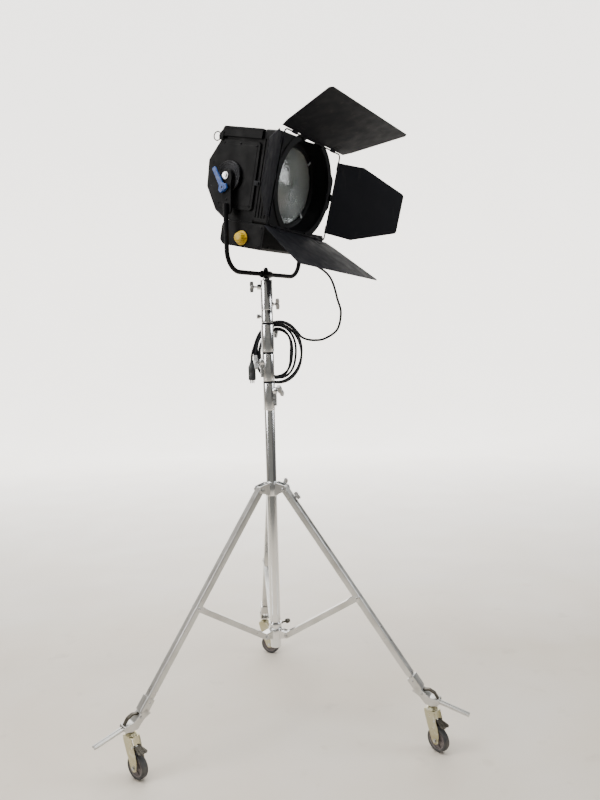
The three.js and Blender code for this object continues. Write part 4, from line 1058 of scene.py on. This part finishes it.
def add_lens_door():
    edge = HALF + 3
    plate = prism(oblong(-edge, edge, DOOR_LOW, DOOR_TOP, 16, 8), DOOR_BACK,
                  DOOR_BACK + DOOR_PLATE + 0.1, "yz")
    deep = prism(rounded([(-edge, DOOR_LOW), (edge - DOOR_CUT, DOOR_LOW), (edge, DOOR_LOW + DOOR_CUT),
                          (edge, DOOR_TOP - DOOR_CUT), (edge - DOOR_CUT, DOOR_TOP), (-edge, DOOR_TOP)],
                         [9, 14, 14, 14, 14, 9], 6), DOOR_BACK + DOOR_PLATE, DOOR_FRONT, "yz")
    bowl = lathe([(0, 118), (LENS_R - 5, 118), (LENS_R - 3, 138), (164, 138), (168, 140),
                  (RING_IN - 1, 184), (RING_IN, 187), (RING_IN, 210), (0, 210)], 128, "X",
                 (0, 0, AXIS_UP))
    cuts = [bowl]
    for x in (143, 157, 171, 185):
        cuts.append(slab(x - 2, x + 3, -edge - 7, -edge + 8, DOOR_LOW + 21.5, DOOR_TOP - 36))
    piece("lens_door", [plate, deep], HEAD, "lens_door", "black_coat", bevel=1.4, cuts=cuts)
    clips = []
    for k in range(4):
        spring = prism(oblong(LENS_R - 12, LENS_R + 9, -5, 5, 2.5), 0, 1.2)
        spring = moved(spring, shift(138.2, 0, AXIS_UP) @ turned_about("X", 45 + 90 * k) @
                       Matrix(((0, 0, 1, 0), (0, 1, 0, 0), (1, 0, 0, 0), (0, 0, 0, 1))))
        clips.append(spring)
        a = rad(45 + 90 * k)
        clips.append(dome(3, 1.8, "X", (139.4, -math.sin(a) * (LENS_R + 4),
                                        AXIS_UP + math.cos(a) * (LENS_R + 4))))
    make("lens_clips", clips, HEAD, "lens_door", "bright_steel", bevel=0.3)
    barrels, fixed = [], []
    for a, b in HINGE_SPANS:
        barrels += [bar(3.9, a, a + 20, at=DOOR_HINGE), bar(3.9, a + 42, b, at=DOOR_HINGE),
                    bar(2, a - 2, b + 2, at=DOOR_HINGE)]
        barrels += [slab(131, 160, 225, 227, c, c + 20) for c in (a, b - 20)]
        fixed += [bar(3.9, a + 20.6, a + 41.4, at=DOOR_HINGE),
                  slab(104, 131, 231.1, 232.8, a + 20.6, a + 41.4)]
    make("door_hinges", barrels, HEAD, "lens_door", "dark_steel", bevel=0.4)
    make("door_hinge_leaves", fixed, HEAD, "head", "dark_steel", bevel=0.4)
    latch = [prism(oblong(120, 150, -22, -4, 4), -HALF - 12, -HALF - 9.2, "xz"),
             bar(6, -HALF - 17, -HALF - 12, "Y", (140, 0, -13), soft=1)]
    make("door_latch", latch, HEAD, "lens_door", "dark_steel", bevel=0.6)


def add_lens():
    back = DOOR_BACK - 9
    rings = 21
    inner, outer = 24, LENS_R - 5
    profile = [(0, back + 9.4)]
    profile += [(inner * k / 8, back + 9.4 - 3.4 * (k / 8) ** 2) for k in range(1, 9)]
    for i in range(rings):
        a = inner + (outer - inner) * i / rings
        b = inner + (outer - inner) * (i + 1) / rings
        drop = 1.2 + 2.2 * i / rings
        for k in range(1, 4):
            profile.append((a + (b - a) * k / 3.2, back + 6.4 - drop * (k / 3) ** 1.4))
        profile.append((b, back + 6.4))
    profile += [(LENS_R - 4, back + 6.4), (LENS_R - 4, back + 5.5), (LENS_R - 0.6, back + 5.5),
                (LENS_R - 0.6, back), (0, back)]
    piece("fresnel_lens", [lathe(profile, 128, "X", (0, 0, AXIS_UP))], HEAD, "lens_door", "lens_glass",
           smooth=28)


def add_barndoor_ring():
    body = lathe([(RING_IN, RING_BACK), (RING_OUT - 0.8, RING_BACK), (RING_OUT, RING_BACK + 0.8),
                  (RING_OUT, RING_FRONT - 0.8), (RING_OUT - 0.8, RING_FRONT), (RING_IN + 4, RING_FRONT),
                  (RING_IN + 1, RING_FRONT + 0.2), (RING_IN, RING_FRONT - 0.4), (RING_IN, RING_BACK)],
                 144, "X")
    piece("barndoor_ring", [body], RING, "barndoor", "black_coat")
    bolts = []
    for a in range(15, 360, 30):
        bolts.append(moved(dome(3.2, 1.8, "X", (RING_FRONT - 0.1, 0, 199)), turned_about("X", a)))
    make("barndoor_ring_rivets", bolts, RING, "barndoor", "dark_steel")


def add_wire_frame():
    loop = []
    r = 16
    for sy, sz, start in ((1, 1, 0), (-1, 1, 90), (-1, -1, 180), (1, -1, 270)):
        for k in range(9):
            t = rad(start + 90 * k / 8)
            loop.append((FRAME_X, sy * (FRAME_H - r) + r * math.cos(t),
                         sz * (FRAME_V - r) + r * math.sin(t)))
    piece("wire_frame", [sweep(loop, 3, 20, True)], RING, "barndoor", "dark_steel",
          smooth=60)
    feet = []
    back, front = RING_FRONT + 0.2, FRAME_X - 0.5
    feet += both(prism(oblong(FRAME_H - 13, FRAME_H + 1, -14, 14, 3, 4), back, front, "yz"),
                 *[screw(3.4, "X", (front, FRAME_H - 9.5, z)) for z in (-8, 8)])
    for a, b in ((FRAME_V - 9, FRAME_V + 1), (-FRAME_V - 1, 9 - FRAME_V)):
        feet += both(prism(oblong(61, 79, a, b, 2, 4), back, front, "yz"))
    make("wire_frame_feet", feet, RING, "barndoor", "dark_steel", bevel=0.5)


BIG_LEAF = [(2, -240), (34, -258), (262, -330), (272, -318), (272, 318), (262, 330), (34, 258), (2, 240)]
SMALL_LEAF = [(2, -150), (122, -156), (326, -86), (332, -78), (332, 78), (326, 86), (122, 156), (2, 150)]
LEAVES = {
    # turn about the optical axis, opening angle, outline, hinge distance
    "leaf_top": (0, 27, BIG_LEAF, FRAME_V),
    "leaf_bottom": (180, 26, BIG_LEAF, FRAME_V),
    "leaf_right": (90, 62, SMALL_LEAF, FRAME_H),
    "leaf_left": (-90, 50, SMALL_LEAF, FRAME_H),
}


def add_leaves():
    for name, (turn, angle, outline, off) in LEAVES.items():
        place = RING @ turned_about("X", turn) @ shift(FRAME_X, 0, off) @ turned_about("Y", -angle)
        radii = [2, 14, 8, 8, 8, 8, 14, 2]
        sheet = prism(rounded(outline, radii, 5), 4.2, 4.2 + LEAF_T)
        edge = [Vector((u, v, 4.9)) for u, v in rounded([(u - (0.8 if u > 100 else -0.8), v * 0.9965)
                                                         for u, v in outline], radii, 5)]
        hem = sweep([tuple(p) for p in edge if p.x > 20], 1.35, 8)
        half = min(abs(outline[0][1]) - 16, 150)
        parts = [sheet, hem]
        rivets = []
        for s in (-1, 1):
            y = s * half
            parts.append(lathe(ring(5.2, 3.5, y - 16, y + 16, 0.6), 40, "Y"))
            parts.append(slab(1, 16, y - 16, y + 16, 3.2, 5))
            for dy in (-9, 9):
                rivets += [dome(3.2, 1.6, "Z", (24, y + dy, 4.2 + LEAF_T)),
                           dome(3.2, 1.6, "Z", (24, y + dy, 4.2), -1)]
            parts.append(prism(oblong(10, 34, y - 15, y + 15, 3), 3.0, 4.3))
        piece(name, parts, place, name, "leaf_black", bevel=0.35)
        make(f"{name}_rivets", rivets, place, name, "dark_steel")


def add_optics():
    """Lamp, mirror and focus slide behind the lens."""
    place = HEAD @ shift(LAMP_X, 0, 0)
    outer = [(30, 6), (30, 26), (24, 44), (12, 54), (0, 56)]
    bulb = [(10, -38), (12, -32), (13, -24), (24, -12)] + outer
    inside = [(max(r - 1.2, 0), h - (1.2 if r < 1 else 0)) for r, h in reversed(bulb)]
    piece("lamp", [lathe(bulb + inside + [bulb[0]], 64)], place, "lamp_carriage", "bulb_glass")
    base = [(0, -61.6), (15, -61.6), (15, -44), (13, -40), (11, -34), (0, -33)]
    make("lamp_base", [lathe(base, 48)], place, "lamp_carriage", "ceramic", slot="bright_steel")
    turns, steps = 10, 240
    coil = []
    for k in range(steps + 1):
        t = 2 * math.pi * turns * k / steps
        coil.append((2.2 * math.cos(t), -12 + 24 * k / steps, 6 + 2.2 * math.sin(t)))
    posts = [sweep([(0, s * 12, -33), (0, s * 12, 6)], 0.8, 12) for s in (-1, 1)]
    make("lamp_filament", [sweep(coil, 0.5, 6)] + posts, place, "lamp_carriage", "bright_steel")
    sides = []
    for r in (72, 70.6):
        angles = [rad(4 + 66 * k / 14) for k in range(15)]
        sides.append([(r * math.sin(t), -r * math.cos(t)) for t in angles])
    dish = sides[0] + sides[1][::-1] + [sides[0][0]]
    piece("reflector", [lathe(dish, 96, "X", (0, 0, 6)), slab(-54.6, -51, -8, 8, -76, -40)], place,
          "lamp_carriage", "mirror")
    rails = [bar(5, -56, 118, "X", (0, y, RAIL_Z)) for y in (-60, 60)]
    rails += [slab(-58, -53, -72, 72, RAIL_Z - 6, RAIL_Z + 8),
              slab(112, 118, -72, 72, -159.5, RAIL_Z + 8)]
    piece("lamp_rails", rails, HEAD, "head", "bright_steel", bevel=0.6)
    carriage = [slab(-26, 26, -78, 78, RAIL_Z - 9, RAIL_Z + 9), slab(-13, 13, -30, 30, RAIL_Z + 8, -74),
                bar(17, -76, -62), slab(-62, -20, -8, 8, RAIL_Z + 2, RAIL_Z + 9),
                slab(-62, -55, -8, 8, RAIL_Z + 2, -50)]
    piece("lamp_carriage", carriage, place, "lamp_carriage", "bright_steel", bevel=1)


# ---- mains cable
def head_point(x, y, z):
    p = HEAD @ Vector((x, y, z))
    return STAND.inverted() @ p


def coil_point(degrees):
    """One point of the hank: each turn lies beside the last, round the section of the bundle."""
    t = rad(degrees)
    part = (degrees - TURNS_FROM) / (TURNS_TO - TURNS_FROM)
    around = 2 * math.pi * part * 0.93
    loose = 1.5 * math.sin(t * 2.3 + 4 * part) + 1.2 * math.sin(t * 1.37 + 1)
    for at, depth, width in SLACK:
        loose -= depth * math.exp(-((degrees - at) / width) ** 2)
    r = COIL["r"] + BUNDLE * math.cos(around) + loose
    y = COIL["y"] + 10 * math.sin(around) + 1.4 * math.sin(t * 1.71)
    return Vector((COIL["x"] + r * math.cos(t), y, COIL["z"] + r * COIL["stretch"] * math.sin(t)))


def catmull(points, steps):
    out = []
    p = [points[0] * 2 - points[1]] + points + [points[-1] * 2 - points[-2]]
    for i in range(1, len(p) - 2):
        a, b, c, d = p[i - 1:i + 3]
        for k in range(steps):
            t = k / steps
            out.append(0.5 * ((2 * b) + (c - a) * t + (2 * a - 5 * b + 4 * c - d) * t ** 2
                              + (3 * b - a - 3 * c + d) * t ** 3))
    out.append(p[-2])
    return out


def add_cord():
    exit_at = head_point(GLAND[0], HALF + 6, GLAND[2])
    out = (head_point(GLAND[0], HALF + 106, GLAND[2]) - exit_at).normalized()
    points = [exit_at, exit_at + out * 34 + Vector((0, 0, -8)),
              exit_at + out * 40 + Vector((6, -20, -60))]
    points += [Vector(p) for p in [(275, 110, 1965), (312, 80, 1850), (322, 60, 1795), (304, 52, 1725),
                                   (250, 48, 1688), (206, 46, 1681), (170, 47, 1686), (146, 50, 1698)]]
    degrees = TURNS_FROM
    while degrees <= TURNS_TO:
        points.append(coil_point(degrees))
        degrees += 18
    points += [Vector(p) for p in [(-66, 46, 1641), (-71, 46, 1620), (-72, 46, 1600), (-72, 46, 1588)]]
    route = catmull(points, 8)
    data = bpy.data.curves.new("mains_cable", "CURVE")
    data.dimensions = "3D"
    data.bevel_depth = CORD_D / 2 * MM
    data.bevel_resolution = 4
    data.use_fill_caps = True
    line = data.splines.new("POLY")
    line.points.add(len(route) - 1)
    for dot, p in zip(line.points, route):
        dot.co = (*(STAND @ p), 1)
    line.use_smooth = True
    obj = bpy.data.objects.new("mains_cable", data)
    bpy.context.scene.collection.objects.link(obj)
    data.materials.append(LOOKS["cord_rubber"])
    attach(obj, "riser_2")
    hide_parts("cord_free", "cord_coil")
    body = [(0, 1513.5), (14, 1513.5), (16, 1515.5), (16.5, 1519), (16.5, 1544), (15.6, 1545),
            (15.6, 1547), (16.5, 1548), (16.5, 1571), (15, 1574), (11, 1582), (9.4, 1588), (9.0, 1590),
            (8.3, 1591)]
    z = 1591
    for k in range(3):
        body += [(8.2 - 0.5 * k, z), (8.0 - 0.5 * k, z + 2), (6.6 - 0.3 * k, z + 2.4),
                 (6.6 - 0.3 * k, z + 3.4)]
        z += 3.6
    body += [(5.6, z), (0, z)]
    plug = piece("plug", [fluted(body, 96, 0.035, 16, 16, at=(-72, 46, 0))], STAND, "riser_2",
                 "plug_black")
    pins = [bar(2.4, 1496 + 4, 1514, at=(-72 + dx, 46 + dy, 0)) for dx, dy in ((-7, 0), (7, 0), (0, 7))]
    prongs = make("plug_pins", pins, STAND, "riser_2", "bright_steel")


BUILD = (build_looks, add_camera, add_studio, add_floor, add_column, add_knobs, add_leg_collar,
         add_spider, add_legs, add_braces, add_feet, add_casters, add_yoke, add_tilt_lever,
         add_housing, add_side_panels, add_base_box, add_focus_knob, add_lens_door, add_lens,
         add_barndoor_ring, add_wire_frame, add_leaves, add_optics, add_cord)
for step in BUILD:
    step()
